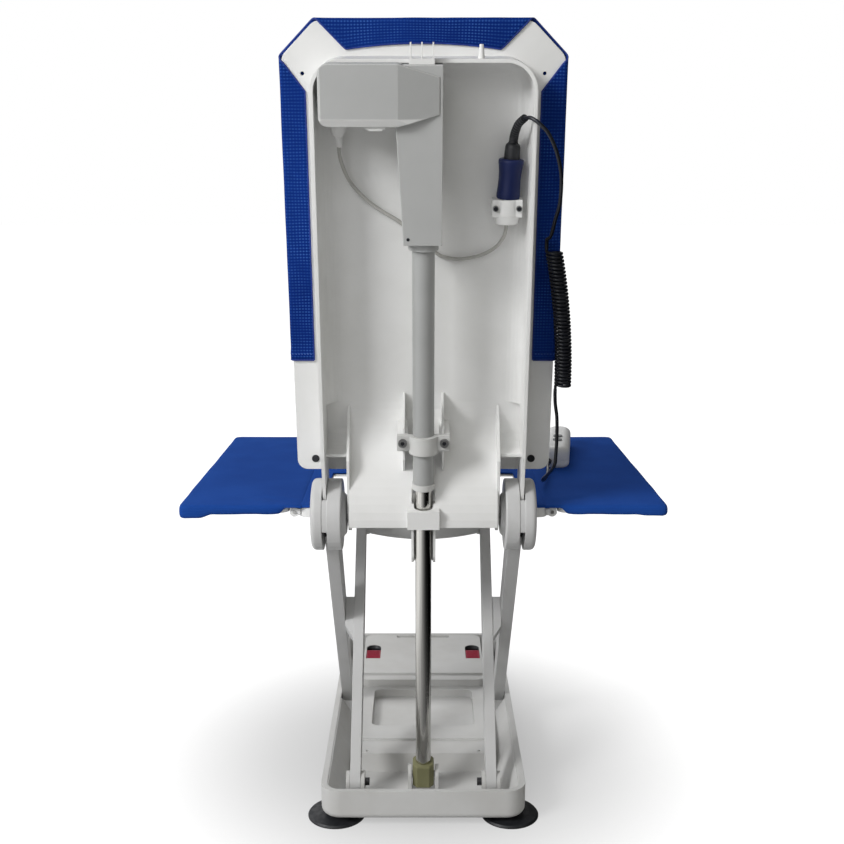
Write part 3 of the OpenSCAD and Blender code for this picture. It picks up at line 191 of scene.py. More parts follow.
# dull rubber, binding and thread: patches of a second tone
def rubberFinish(name, colour, dust, roughness=0.55):
    material, tree, shader = startMaterial(name)
    place = objectCoordinates(tree)
    patch = noiseNode(tree, place, scale=45, detail=5, roughness=0.6)
    tint = mixColour(tree, rampNode(tree, patch, low=0.45, high=0.75), colour, dust)
    tree.links.new(tint, shader.inputs["Base Color"])
    scuff = noiseNode(tree, place, scale=130)
    gloss = rampNode(tree, scuff, 0.3, 0.7, outLow=roughness - 0.1, outHigh=roughness + 0.1)
    tree.links.new(gloss, shader.inputs["Roughness"])
    pitting = noiseNode(tree, place, scale=700, detail=2)
    bump = addNode(tree, "ShaderNodeBump", {"Strength": 0.12, "Distance": 0.0004, "Height": pitting})
    tree.links.new(bump.outputs["Normal"], shader.inputs["Normal"])
    return material


# open-mesh cover cloth: rows of small light eyelets on royal blue, laid out on the flat sheet's own map
def coverCloth(name, spec):
    material, tree, shader = startMaterial(name)
    place = objectCoordinates(tree)
    weave = addNode(tree, "ShaderNodeUVMap", uv_map="weave").outputs["UV"]
    wander = mathNode(tree, "MULTIPLY", noiseNode(tree, place, scale=14, detail=2), 0.004)
    cells = []
    for axis, pitch in zip("XY", spec["pitch"]):
        line = mathNode(tree, "ADD", alongAxis(tree, weave, axis), wander)
        share = mathNode(tree, "FRACT", mathNode(tree, "DIVIDE", line, pitch))
        cells.append(mathNode(tree, "ABSOLUTE", mathNode(tree, "SUBTRACT", share, 0.5)))
    squares = [mathNode(tree, "POWER", cell, 2.0) for cell in cells]
    reach = mathNode(tree, "SQRT", mathNode(tree, "ADD", *squares))
    eyelet = rampNode(tree, reach, low=0.36, high=0.14)
    rib = rampNode(tree, cells[1], low=0.30, high=0.05)
    # random patches where the eyelets show more or less
    eyeletPatchNoise = noiseNode(tree, place, scale=22, detail=4, roughness=0.6)
    eyeletShowing = rampNode(tree, eyeletPatchNoise, 0.36, 0.72, outLow=0.15, outHigh=0.95)
    yarn = noiseNode(tree, place, scale=1500, detail=2)
    broad = rampNode(tree, noiseNode(tree, place, scale=7), low=0.3, high=0.7)
    ground = mixColour(tree, broad, spec["deep"], spec["colour"])
    light = mathNode(tree, "MULTIPLY", mathNode(tree, "MULTIPLY", eyelet, eyeletShowing), spec["show"])
    ribbed = mixColour(tree, mathNode(tree, "MULTIPLY", rib, spec["rib"]), ground, spec["light"])
    tree.links.new(mixColour(tree, light, ribbed, spec["light"]), shader.inputs["Base Color"])
    raised = mathNode(tree, "ADD", rib, mathNode(tree, "MULTIPLY", yarn, 0.5))
    height = mathNode(tree, "ADD", mathNode(tree, "MULTIPLY", eyelet, -0.7), raised)
    bump = addNode(tree, "ShaderNodeBump", {"Strength": 0.3, "Distance": 0.0005, "Height": height})
    tree.links.new(bump.outputs["Normal"], shader.inputs["Normal"])
    shader.inputs["Roughness"].default_value = 0.9
    shader.inputs["Specular IOR Level"].default_value = 0.03
    return material


# painted shade: the back cover's blue is the seat cloth's colour set darker
shadedBackBlue = {"colour": (0.005, 0.029, 0.20), "deep": (0.003, 0.019, 0.15), "light": (0.045, 0.135, 0.47)}
seatBlue = {"colour": (0.015, 0.070, 0.33), "deep": (0.011, 0.054, 0.27), "light": (0.05, 0.15, 0.50)}
finishes = {
    "whitePlastic": mouldedPlastic("whitePlastic", (0.82, 0.82, 0.81), (0.77, 0.77, 0.755)),
    # painted shade: base and arms are the white plastic in darker copies
    "shadedBasePlastic": mouldedPlastic("shadedBasePlastic", (0.62, 0.62, 0.61), (0.56, 0.555, 0.54), 0.48),
    "shadedArmPlastic": mouldedPlastic("shadedArmPlastic", (0.60, 0.60, 0.60), (0.56, 0.56, 0.555), 0.4),
    # housing and column: painted highlight along their edges, and on the housing's lower lip too
    "housingGrey": mouldedPlastic("housingGrey", (0.45, 0.455, 0.45), (0.42, 0.425, 0.42), 0.5, 0.08, 0.002,
                                  lip=1.0722, rim=(0.70, 0.70, 0.69)),
    "columnGrey": mouldedPlastic("columnGrey", (0.44, 0.445, 0.44), (0.41, 0.415, 0.41), 0.5, 0.08, 0.002,
                                 rim=(0.66, 0.66, 0.65)),
    "clampGrey": mouldedPlastic("clampGrey", (0.62, 0.62, 0.605), (0.57, 0.57, 0.555), 0.45),
    "tubeGrey": mouldedPlastic("tubeGrey", (0.38, 0.385, 0.38), (0.35, 0.355, 0.35), 0.38),
    "oliveNylon": mouldedPlastic("oliveNylon", (0.25, 0.245, 0.135), (0.20, 0.195, 0.10), 0.5, shine=0.25),
    # navy plug: painted highlight along its edges
    "navyPlastic": mouldedPlastic("navyPlastic", (0.008, 0.016, 0.080), (0.005, 0.011, 0.060), 0.45,
                                  shine=0.25, rim=(0.045, 0.055, 0.15)),
    "redPlastic": mouldedPlastic("redPlastic", (0.35, 0.010, 0.040), (0.28, 0.008, 0.032), 0.4, shine=0.15),
    "cableGrey": mouldedPlastic("cableGrey", (0.47, 0.465, 0.44), (0.40, 0.395, 0.37), 0.5),
    "keyGrey": mouldedPlastic("keyGrey", (0.20, 0.21, 0.22), (0.15, 0.16, 0.17), 0.5),
    "boardGreen": mouldedPlastic("boardGreen", (0.03, 0.16, 0.06), (0.02, 0.11, 0.04), 0.4),
    "blackRubber": rubberFinish("blackRubber", (0.007, 0.008, 0.011), (0.018, 0.019, 0.023)),
    "cordBlack": rubberFinish("cordBlack", (0.006, 0.007, 0.012), (0.014, 0.016, 0.022), 0.38),
    "clothEdge": rubberFinish("clothEdge", (0.006, 0.026, 0.21), (0.012, 0.05, 0.32), 0.75),
    "thread": rubberFinish("thread", (0.10, 0.20, 0.58), (0.16, 0.28, 0.66), 0.8),
    "chromedSteel": metalFinish("chromedSteel", (0.66, 0.65, 0.62), 0.19, (1, 1, 0.015), 420,
                                (leanAngle, 0, 0)),
    "darkSteel": metalFinish("darkSteel", (0.11, 0.11, 0.115), 0.34, (0.03, 1, 1), 600),
    "dullSteel": metalFinish("dullSteel", (0.30, 0.30, 0.30), 0.4, (0.03, 1, 1), 600),
    "brightSteel": metalFinish("brightSteel", (0.62, 0.62, 0.61), 0.3, (0.03, 1, 1), 600),
    "backCloth": coverCloth("backCloth", dict(shadedBackBlue, pitch=(0.0042, 0.0043), show=0.8, rib=0.12)),
    "seatCloth": coverCloth("seatCloth", dict(seatBlue, pitch=(0.0023, 0.0023), show=0.10, rib=0.05)),
}

nodeFinish = {
    "shadedBasePlastic": ["base_tray", "front_deck"],
    "shadedArmPlastic": ["inner_arm_left", "inner_arm_right", "arm_web", "outer_arm_left", "outer_arm_right"],
    "whitePlastic": ["seat_plate", "flap_left", "flap_right", "handset_lower", "handset_upper",
                     "back_shell", "back_tray", "top_bracket", "motor_gland", "socket_clamp"],
    "clampGrey": ["tube_ring", "tube_clamp"],
    "housingGrey": ["motor_box"],
    "columnGrey": ["drive_column"],
    "chromedSteel": ["rod", "spindle"],
    "brightSteel": ["crossing_pins", "hinge_pins", "flap_rods", "motor", "foot_pin"],
    "darkSteel": ["base_pins"],
    "dullSteel": ["bracket_screws"],
    "oliveNylon": ["rod_foot", "worm_wheel", "drive_nut"],
    "blackRubber": ["suction_cup_rear_left", "suction_cup_rear_right", "suction_cup_front_left",
                    "suction_cup_front_right", "shell_plugs", "handset_relief"],
    "redPlastic": ["catch_left", "catch_right"],
    "tubeGrey": ["drive_tube", "guide_bush"],
    "keyGrey": ["up_button", "down_button", "seat_sliders", "base_sliders"],
    "boardGreen": ["handset_board"],
}
for finish, names in nodeFinish.items():
    for name in names:
        nodes[name].data.materials.clear()
        nodes[name].data.materials.append(finishes[finish])
print("materials:", len(finishes))


# turns a bmesh into a piece, which rides on body if one is given
def makePiece(name, shape, finish, body=None, smooth=True):
    mesh = bpy.data.meshes.new(name)
    shape.to_mesh(mesh)
    shape.free()
    mesh.materials.append(finishes[finish])
    for polygon in mesh.polygons:
        polygon.use_smooth = smooth
    piece = bpy.data.objects.new(name, mesh)
    bpy.context.scene.collection.objects.link(piece)
    if body:
        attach(piece, body)
    return piece


def addModifier(piece, kind, **settings):
    modifier = piece.modifiers.new(kind.lower(), kind)
    for key, value in settings.items():
        setattr(modifier, key, value)


# smooth line through chosen points
def smoothLine(points, steps):
    points = [Vector(p) for p in points]
    ends = [2 * points[0] - points[1]] + points + [2 * points[-1] - points[-2]]
    line = []
    for index in range(len(points) - 1):
        a, b, c, d = ends[index:index + 4]
        for step in range(steps):
            s = step / steps
            line.append(0.5 * (2 * b + (c - a) * s + (2 * a - 5 * b + 4 * c - d) * s * s
                               + (3 * b - a - 3 * c + d) * s ** 3))
    return line + [points[-1]]


def lineLength(line):
    return sum((b - a).length for a, b in zip(line, line[1:]))


# round tube along a line: a curve with a bevel, made a mesh; widths gives a radius factor per point
def makeTube(name, line, diameter, finish, sides=3, widths=None):
    curve = bpy.data.curves.new(name, "CURVE")
    curve.dimensions = "3D"
    curve.bevel_depth = diameter / 2
    curve.bevel_resolution = sides
    curve.use_fill_caps = True
    spline = curve.splines.new("POLY")
    spline.points.add(len(line) - 1)
    for index, point in enumerate(line):
        spline.points[index].co = (*point, 1)
        spline.points[index].radius = widths[index] if widths else 1.0
    holder = bpy.data.objects.new(name + "_line", curve)
    bpy.context.scene.collection.objects.link(holder)
    bpy.context.view_layer.update()
    mesh = bpy.data.meshes.new_from_object(holder.evaluated_get(bpy.context.evaluated_depsgraph_get()))
    bpy.data.objects.remove(holder)
    bpy.data.curves.remove(curve)
    mesh.name = name
    mesh.materials.clear()
    mesh.materials.append(finishes[finish])
    for polygon in mesh.polygons:
        polygon.use_smooth = True
    piece = bpy.data.objects.new(name, mesh)
    bpy.context.scene.collection.objects.link(piece)
    return piece


# the handset's cord, from the boot over the rim, through the curls and down to the handset
# lead and drop are on the backrest's axes, end and relief on the base's (mm)
cord = {
    "thick": 5.0, "wire": 4.2, "curls": 38, "perCurl": 24, "pitch": 5.1, "across": 24.5, "low": 193.0,
    "axis": (-177.0, -12.0), "sway": 20.0, "leadStart": 0.3, "leadDip": 12, "dropDip": 8, "split": 16,
    "lead": [(-128, 30, 566.8), (-134.7, 40, 568.3), (-142.4, 46, 564.4), (-150, 47.5, 557.8),
             (-158, 47, 548.6), (-168, 43, 528.9), (-175.3, 36, 505.4), (-178.4, 28, 483.8),
             (-178.6, 18, 456.3), (-174.8, 8, 433.7), (-171.2, -2, 411)],
    "drop": [(-188, -12, 166), (-191, -11, 145), (-192, -10, 110), (-191, -8, 78)],
    "end": [(-189.5, -46, 550), (-187.5, -62, 540), (-185, -88, 527), (-182.5, -115, 515),
            (-184, -145, 503.5), (-192, -180, 497.5), (-200, -218, 498), (-204.07, -255.02, 502.3)],
    "relief": (-205.18, -262.95, 502.3),
}
curlRadius = (cord["across"] - cord["wire"]) / 2
curlTop = cord["low"] + cord["curls"] * cord["pitch"]


def curlPoint(index):
    turns = index / cord["perCurl"]
    share = turns / cord["curls"]
    angle = 2 * math.pi * turns
    x = cord["axis"][0] - cord["sway"] * share * (2 - share) + curlRadius * math.cos(angle)
    n = cord["axis"][1] + curlRadius * math.sin(angle)
    return Vector((x, n, curlTop - cord["pitch"] * turns))


curlLine = [curlPoint(index) for index in range(cord["perCurl"] * cord["curls"] + 1)]
curlStart = curlLine[0] + Vector((0, 0, cord["wire"]))
curlStop = curlLine[-1] - Vector((0, 0, cord["wire"]))
leadPoints = [Vector(p) for p in cord["lead"]]
leadStep = leadPoints[1] - leadPoints[0]
leadRoute = [leadPoints[0] + cord["leadStart"] * leadStep] + leadPoints[1:]
leadRoute.append(curlStart + Vector((0, 0, cord["leadDip"])))
leadLine = [leadPoints[0]] + smoothLine(leadRoute, steps=4) + [curlStart]
dropRoute = [curlStop - Vector((0, 0, cord["dropDip"]))] + [Vector(p) for p in cord["drop"]]
dropLine = [curlStop] + smoothLine(dropRoute, steps=5)
backCords = {  # line, width, replaced node, roundness, lay
    "cordLead": (leadLine, cord["thick"], "cord_lead", 4, "hanging"),
    "cordCurls": ([curlStart] + curlLine + [curlStop], cord["wire"], "cord_curl", 3, "coiled"),
    "cordDrop": (dropLine, cord["thick"], "cord_drop", 4, "hanging"),
}
cordLines = {}
for name, (line, thick, node, sides, lay) in backCords.items():
    line = [onBack(*p) for p in line]
    piece = makeTube(name, line, thick / 1000, "cordBlack", sides)
    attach(piece, "backrest")
    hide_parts(node)
    cordLines[name] = line

endLine = smoothLine([onBase(*p) for p in cord["end"]], steps=5)
endLine = [cordLines["cordDrop"][-1]] + endLine + [onBase(*cord["relief"])]
cordLines["cordFall"] = endLine[:cord["split"] + 1]
cordLines["cordTail"] = endLine[cord["split"]:]
for name, pair in (("cordFall", ("backrest", "seat")), ("cordTail", ("seat", "right_flap"))):
    line = cordLines[name]
    piece = makeTube(name, line, cord["thick"] / 1000, "cordBlack", sides=4)
    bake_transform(piece)
    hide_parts("cord_end")
print("handset cord:", round(sum(lineLength(line) for line in cordLines.values()), 3), "m")

perWidth = 0.001  # diameter at a radius factor of 1, so that widths are in mm


# straight turned piece on the backrest; profile holds (distance along run, width) in mm
def turnedPiece(name, start, run, profile, finish, sides):
    line = [onBack(*(Vector(start) + Vector(run) * along)) for along, width in profile]
    piece = makeTube(name, line, perWidth, finish, sides, [width for along, width in profile])
    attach(piece, "backrest")
    return piece


# motor cable, from the motor box behind the column to the socket, with a tapered relief at the box
cable = {
    "thick": 5.0, "start": (111, -4, 552), "stop": (-111, -8, 426),
    "points": [(111, -5, 535.6), (109.5, -9, 511.1), (98.6, -14, 481.6), (77.9, -19, 456.8),
               (56.6, -21, 440.3), (32.5, -22, 425.3), (7.5, -22, 403.2), (-19.4, -22, 381.1),
               (-32.2, -22, 376.1), (-47.2, -22, 374.2), (-66.3, -21, 376.5), (-85.2, -19, 383.2),
               (-99.5, -16, 393.4), (-108, -12, 406.2), (-111, -9, 418)],
    "relief": [(0, 20), (3, 21), (8, 20), (11.5, 17), (13.6, 14.4), (14.2, 10.4), (16, 9.4), (27, 7.6),
               (28.5, 6.6), (29, 5.2)],
    "reliefTop": (111, -3.5, 555), "reliefRun": (-0.031, -0.117, -1),
}
cableLine = smoothLine([onBack(*p) for p in cable["points"]], steps=8)
cableLine = [onBack(*cable["start"])] + cableLine + [onBack(*cable["stop"])]
motorCable = makeTube("motorCable", cableLine, cable["thick"] / 1000, "cableGrey", sides=4)
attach(motorCable, "backrest")
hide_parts("motor_cable")
turnedPiece("cableRelief", cable["reliefTop"], cable["reliefRun"], cable["relief"], "whitePlastic",
            sides=8)
print("motor cable:", round(lineLength(cableLine), 3), "m")

# plug and its bend relief: a waisted grip, a collar and a ribbed sleeve that follows the cord
boot = {
    "plug": [(0, 29.0), (1.5, 31.0), (5, 31.6), (14, 30.2), (26, 29.4), (36, 30.3), (43, 32.2), (47, 33.6),
             (49.6, 33.6), (51.2, 32.2), (52, 29.0)],
    "collar": [(0, 20.6), (1.0, 21.0), (14, 20.2), (18, 18.8), (19.5, 16.0), (20.4, 13.0)],
    "seat": (-112.3, -8, 459), "foot": (-116.0, -8, 511), "lean": (-0.065, 0, 1),
    "sleeve": [(-117.3, -8, 531.2), (-118, -5, 539.4), (-119.3, 3, 548.5), (-122, 15, 558.5),
               (-128, 30, 566.8)],
    "wide": (12.6, 10.4), "ribs": 13, "ribDeep": 1.7,
}
cordPlug = turnedPiece("cordPlug", boot["seat"], boot["lean"], boot["plug"], "navyPlastic",
                       sides=14)
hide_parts("cord_plug")
bootLine = [Vector(boot["foot"]) + Vector(boot["lean"]) * along for along, width in boot["collar"]]
bootWidths = [width for along, width in boot["collar"]]
sleeveLine = smoothLine(boot["sleeve"], steps=26)[1:]
wideFoot, wideTip = boot["wide"]
for index, point in enumerate(sleeveLine):
    share = (index + 1) / len(sleeveLine)
    groove = 0.5 - 0.5 * math.cos(2 * math.pi * boot["ribs"] * share)
    bootLine.append(point)
    bootWidths.append(wideFoot + (wideTip - wideFoot) * share - boot["ribDeep"] * groove)
bootLine = [onBack(*p) for p in bootLine]
plugBoot = makeTube("plugBoot", bootLine, perWidth, "blackRubber", 6, bootWidths)
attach(plugBoot, "backrest")
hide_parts("plug_boot")
print("plug and boot made")


# value between marks, each a (position, value) pair
def between(value, marks):
    for (a, low), (b, high) in zip(marks, marks[1:]):
        if value <= b + 1e-6:
            return low + (high - low) * (value - a) / (b - a)
    return marks[-1][1]


def easeStep(low, high, value):
    share = min(max((value - low) / (high - low), 0), 1)
    return share * share * (3 - 2 * share)


# flat cut of cloth in mm, as a grid whose columns and rows follow marks
def flatSheet(across, along):
    columns, rows = across[-1][0], along[-1][0]
    shape = bmesh.new()
    bmesh.ops.create_grid(shape, x_segments=columns, y_segments=rows, size=0.5)
    for vert in shape.verts:
        column, row = (vert.co.x + 0.5) * columns, (vert.co.y + 0.5) * rows
        vert.co = (between(column, across), between(row, along), 0)
    return shape


# keeps the flat cut as the cloth's own map, then puts every point in its place; returns the flat area
def sewSheet(shape, place):
    layer = shape.loops.layers.uv.new("weave")
    for face in shape.faces:
        for loop in face.loops:
            loop[layer].uv = (loop.vert.co.x / 1000, loop.vert.co.y / 1000)
    area = sum(face.calc_area() for face in shape.faces) / 1e6
    for vert in shape.verts:
        vert.co = place(vert.co.x, vert.co.y)
    return area


# how far out and how deep a sheet gets, s past the start of a rounded board edge
def rollOver(s, radius, wall=0.0):
    quarter = math.pi * radius / 2
    if s <= 0:
        return s, 0.0
    if s < quarter:
        return radius * math.sin(s / radius), radius * (1 - math.cos(s / radius))
    if s < quarter + wall:
        return radius, radius + s - quarter
    if s < 2 * quarter + wall:
        turn = (s - wall) / radius
        return radius * math.sin(turn), wall + radius * (1 - math.cos(turn))
    return 2 * quarter + wall - s, 2 * radius + wall


# gives a cloth piece its thickness and rounds it off
def thicken(piece, thickness, levels=1):
    addModifier(piece, "SOLIDIFY", thickness=thickness, offset=0.0)
    if levels:
        addModifier(piece, "SUBSURF", levels=levels, render_levels=levels)
    bpy.context.view_layer.update()
    graph = bpy.context.evaluated_depsgraph_get()
    mesh = bpy.data.meshes.new_from_object(piece.evaluated_get(graph))
    piece.modifiers.clear()
    piece.data = mesh
    for polygon in mesh.polygons:
        polygon.use_smooth = True


# slow unevenness of a cloth, between -1 and 1
def waveAt(spec, x, y):
    wide, tall = spec["size"]
    return noise.noise(Vector((x / wide, y / tall, spec["seed"])))


# back cover: one cut of cloth round the shell, open at the rear, its upper corners cut off aslant
cover = {
    "edge": 183.2, "top": 680.7, "middle": -34.5, "roll": 4.0, "hem": 227.0, "strip": 28.0, "band": 34.0,
    "corner": [(223.77, 594.3), (198, 628.6), (133, 694.2), (100, 727.3)], "thick": 2.0,
    "arch": 0.24, "archHalf": 105, "crown": 3.0, "crownMiddle": 454, "crownHalf": 227, "crownTurn": 0.6,
    "wave": {"size": (38, 55), "seed": 0.3, "high": 0.45}, "hemFold": (13, 15), "hemHigh": 0.6,
    "binding": 2.6, "hemCord": 3.0, "edgeStep": 3,
}
coverTurn = math.pi * cover["roll"]
coverWide = cover["edge"] + coverTurn + cover["strip"]
coverTall = cover["top"] + coverTurn + cover["band"]


def coverPoint(u, v, lift=0.0):
    edge, top, radius, hem = cover["edge"], cover["top"], cover["roll"], cover["hem"]
    turnU = min(max((abs(u) - edge) / radius, 0), math.pi)
    turnV = min(max((v - top) / radius, 0), math.pi)
    front = 1 - easeStep(0, cover["crownTurn"], max(turnU, turnV))
    upward = (v - cover["crownMiddle"]) / cover["crownHalf"]
    puff = (1 - (u / edge) ** 4) * (1 - upward ** 4) if front else 0
    lift += cover["crown"] * max(puff, 0) * front + cover["wave"]["high"] * waveAt(cover["wave"], u, v)
    foldLow, foldHigh = cover["hemFold"]
    lift += cover["hemHigh"] * (1 - easeStep(hem + foldLow, hem + foldHigh, v))
    reach = radius + lift
    share = 1 - cover["arch"] * max(1 - (u / cover["archHalf"]) ** 2, 0)
    x = min(abs(u), edge) + reach * math.sin(turnU) - max(abs(u) - edge - coverTurn, 0)
    t = min(v, top) + reach * math.sin(turnV) - share * max(v - top - coverTurn, 0)
    n = cover["middle"] - reach * math.cos(max(turnU, turnV))
    return onBack(math.copysign(x, u), n, t)


coverEdges = [(0, -coverWide), (12, -cover["edge"] - coverTurn), (20, -cover["edge"]), (80, cover["edge"]),
              (88, cover["edge"] + coverTurn), (100, coverWide)]
coverRows = [(0, cover["hem"]), (80, cover["top"]), (88, cover["top"] + coverTurn), (100, coverTall)]
coverShape = flatSheet(coverEdges, coverRows)
for side in (1, -1):
    for (a, b), (c, d) in zip(cover["corner"], cover["corner"][1:]):
        everything = coverShape.verts[:] + coverShape.edges[:] + coverShape.faces[:]
        bmesh.ops.bisect_plane(coverShape, geom=everything, plane_co=(side * a, b, 0),
                               plane_no=(side * (d - b), a - c, 0), clear_outer=True)
coverArea = sewSheet(coverShape, coverPoint)
backCover = makePiece("backCover", coverShape, "backCloth")
thicken(backCover, cover["thick"] / 1000, 0)
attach(backCover, "backrest")
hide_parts("back_cover")


def alongRoute(route, step):
    found = []
    for (a, b), (c, d) in zip(route, route[1:]):
        count = max(int(math.hypot(c - a, d - b) / step), 1)
        found += [(a + (c - a) * k / count, b + (d - b) * k / count) for k in range(count)]
    return found + [route[-1]]


# bound edges, hem cord and hem stitches of the back cover
def edgeTube(name, route, width):
    line = [coverPoint(u, v) for u, v in alongRoute(route, cover["edgeStep"])]
    return makeTube(name, line, width / 1000, "clothEdge", sides=2)


stitch = {"up": 9, "inset": 4, "pitch": 4.2, "lift": 1.1, "size": (0.0014, 0.0005, 0.0004)}
cornerLine = [(coverWide, cover["hem"])] + cover["corner"]
boundRoute = cornerLine + [(-u, v) for u, v in reversed(cornerLine)]
coverBinding = edgeTube("coverBinding", boundRoute, cover["binding"])
hemCord = edgeTube("hemCord", [(-coverWide, cover["hem"]), (coverWide, cover["hem"])], cover["hemCord"])
stitchShape = bmesh.new()
stitchEnd, stitchRow = coverWide - stitch["inset"], cover["hem"] + stitch["up"]
longWay, wideWay, highWay = stitch["size"]
for u, v in alongRoute([(-stitchEnd, stitchRow), (stitchEnd, stitchRow)], stitch["pitch"]):
    middle = coverPoint(u, v, stitch["lift"])
    along = (coverPoint(u + 1, v, stitch["lift"]) - coverPoint(u - 1, v, stitch["lift"])).normalized()
    out = (coverPoint(u, v, stitch["lift"] + 1) - middle).normalized()
    made = bmesh.ops.create_icosphere(stitchShape, subdivisions=1, radius=1)["verts"]
    for vert in made:
        x, y, z = vert.co
        vert.co = middle + longWay * x * along + highWay * z * out + wideWay * y * along.cross(out)
hemStitches = makePiece("hemStitches", stitchShape, "thread")
for piece in (coverBinding, hemCord, hemStitches):
    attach(piece, "backrest")
print("back cover:", round(coverArea, 4), "m2")

# flap covers: cloth drawn over each board and turned in below, running on across the hinge
boardWave = {"size": (45, 60), "seed": 1.7, "high": 0.35}  # shared with the seat, so that the covers meet
flap = {
    "inner": 178.0, "outer": 352.0, "rear": -52.0, "front": -534.0, "corner": 8.0, "roll": 4.0, "wall": 4.8,
    "wrap": 18.0, "top": 488.3, "thick": 2.0, "short": (205.0, 214.0, 0.14), "middle": (266, -293),
    "crown": 1.6, "crownHalf": (88, 240), "lap": 0.9, "lapWide": 4.5, "flare": 7.0, "flareFrom": 220,
    "crease": {"high": 0.9, "place": (222, -82), "spread": (34, 26), "slant": 0.5, "run": 6},
    "uneven": 0.6, "ripple": {"size": (17, 23), "seed": 4.1, "high": 0.8}, "ripplePast": (3, 10),
    "sagX": (312, 318), "sagY": (-90, -60), "sagPast": (4, 14), "hinge": (0.178, 0.203),
}
flapRun = math.pi * flap["roll"] + flap["wall"] + flap["wrap"]
flapReach = flapRun - flap["roll"]


# nearest place on the board's inner outline, the way out from it and the distance past the roll's start
def flapEdge(x, y):
    nearX = min(x, flap["outer"] - flap["corner"])
    nearY = min(max(y, flap["front"] + flap["corner"]), flap["rear"] - flap["corner"])
    out = Vector((x - nearX, y - nearY))
    past = out.length - flap["corner"] + flap["roll"]
    return Vector((nearX, nearY)), out, past


# small slanting creases beside the hinge, near the rear corner
def creaseAt(x, y):
    spec = flap["crease"]
    awayX = (x - spec["place"][0]) / spec["spread"][0]
    awayY = (y - spec["place"][1]) / spec["spread"][1]
    fade = math.exp(-awayX ** 2 - awayY ** 2)
    return spec["high"] * math.sin((spec["slant"] * x + y) / spec["run"]) * fade


def flapPoint(x, y, droop):
    near, out, past = flapEdge(x, y)
    past = min(past, flapRun)
    if y > flap["rear"] - flap["corner"]:
        low, high, least = flap["short"]
        past *= least + (1 - least) * easeStep(low, high, x) if past > 0 else 1
    (midX, midY), (halfX, halfY) = flap["middle"], flap["crownHalf"]
    puff = max(1 - ((x - midX) / halfX) ** 4, 0) * max(1 - ((y - midY) / halfY) ** 6, 0)
    wave = waveAt(boardWave, x, y)
    rise = flap["crown"] * puff + boardWave["high"] * wave + creaseAt(x, y)
    rise -= flap["lap"] * (1 - easeStep(flap["inner"], flap["inner"] + flap["lapWide"], x))
    flare = flap["flare"] * easeStep(flap["flareFrom"], flap["outer"], x)
    flare *= easeStep(flap["front"], flap["rear"], y)
    if past <= 0:
        return onBase(x + flare, y, flap["top"] + rise)
    forward, depth = rollOver(past, flap["roll"], flap["wall"])
    place = near + out.normalized() * (flap["corner"] - flap["roll"] + forward + flap["uneven"] * wave)
    sag = easeStep(*flap["sagX"], x) * easeStep(*flap["sagY"], y) * easeStep(*flap["sagPast"], past)
    ripple = flap["ripple"]["high"] * waveAt(flap["ripple"], x, y) * easeStep(*flap["ripplePast"], past)
    return onBase(place.x + flare, place.y, flap["top"] + rise - depth - droop * sag + ripple)


flapColumns = [(0, flap["inner"]), (26, flap["outer"] - flap["roll"]), (40, flap["outer"] + flapReach)]
flapRows = [(0, flap["front"] - flapReach), (14, flap["front"] + flap["roll"]),
            (82, flap["rear"] - flap["roll"]), (96, flap["rear"] + flapReach)]
flapSides = {  # side, body, board, replaced node, droop of the rear outer corner
    "flapCoverLeft": (1, "left_flap", "flap_left", "flap_cover_left", 6.0),
    "flapCoverRight": (-1, "right_flap", "flap_right", "flap_cover_right", 2.0),
}
for name, (side, body, board, node, droop) in flapSides.items():
    shape = flatSheet(flapColumns, flapRows)
    beyond = [face for face in shape.faces if all(flapEdge(*v.co.xy)[2] > flapRun for v in face.verts)]
    bmesh.ops.delete(shape, geom=beyond, context="FACES")
    area = sewSheet(shape, lambda x, y: flapPoint(x, y, droop))
    for vert in shape.verts:
        vert.co.x *= side
    if side < 0:
        bmesh.ops.reverse_faces(shape, faces=shape.faces[:])
    piece = makePiece(name, shape, "seatCloth")
    thicken(piece, flap["thick"] / 1000)
    middle = onBase(0, flap["middle"][1], flap["top"])
    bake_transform(piece)
    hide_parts(node)
print("flap covers:", len(flapSides), "of", round(area, 4), "m2")

# seat cover: cloth over the seat board, notched for the drums and arms, turned down in front and behind
seat = {
    "half": 181.0, "wing": 166.0, "slot": (116.5, 146.0), "slotEnd": -250.0, "notch": -107.5,
    "front": -587.3, "rear": -58.7, "roll": 4.0, "wall": 30, "frontRun": 17.0, "rearRun": 5.0,
    "top": 487.6, "thick": 2.4, "crown": 1.8, "crownMiddle": -360, "crownHalf": (178, 232),
}


def seatPoint(x, y):
    halfX, halfY = seat["crownHalf"]
    puff = max(1 - (x / halfX) ** 4, 0) * max(1 - ((y - seat["crownMiddle"]) / halfY) ** 4, 0)
    height = seat["top"] + seat["crown"] * puff + boardWave["high"] * waveAt(boardWave, x, y)
    if y < seat["front"]:
        forward, depth = rollOver(seat["front"] - y, seat["roll"], seat["wall"])
        return onBase(x, seat["front"] - forward, height - depth)
    if y > seat["rear"]:
        forward, depth = rollOver(y - seat["rear"], seat["roll"], seat["wall"])
        return onBase(x, seat["rear"] + forward, height - depth)
    return onBase(x, y, height)


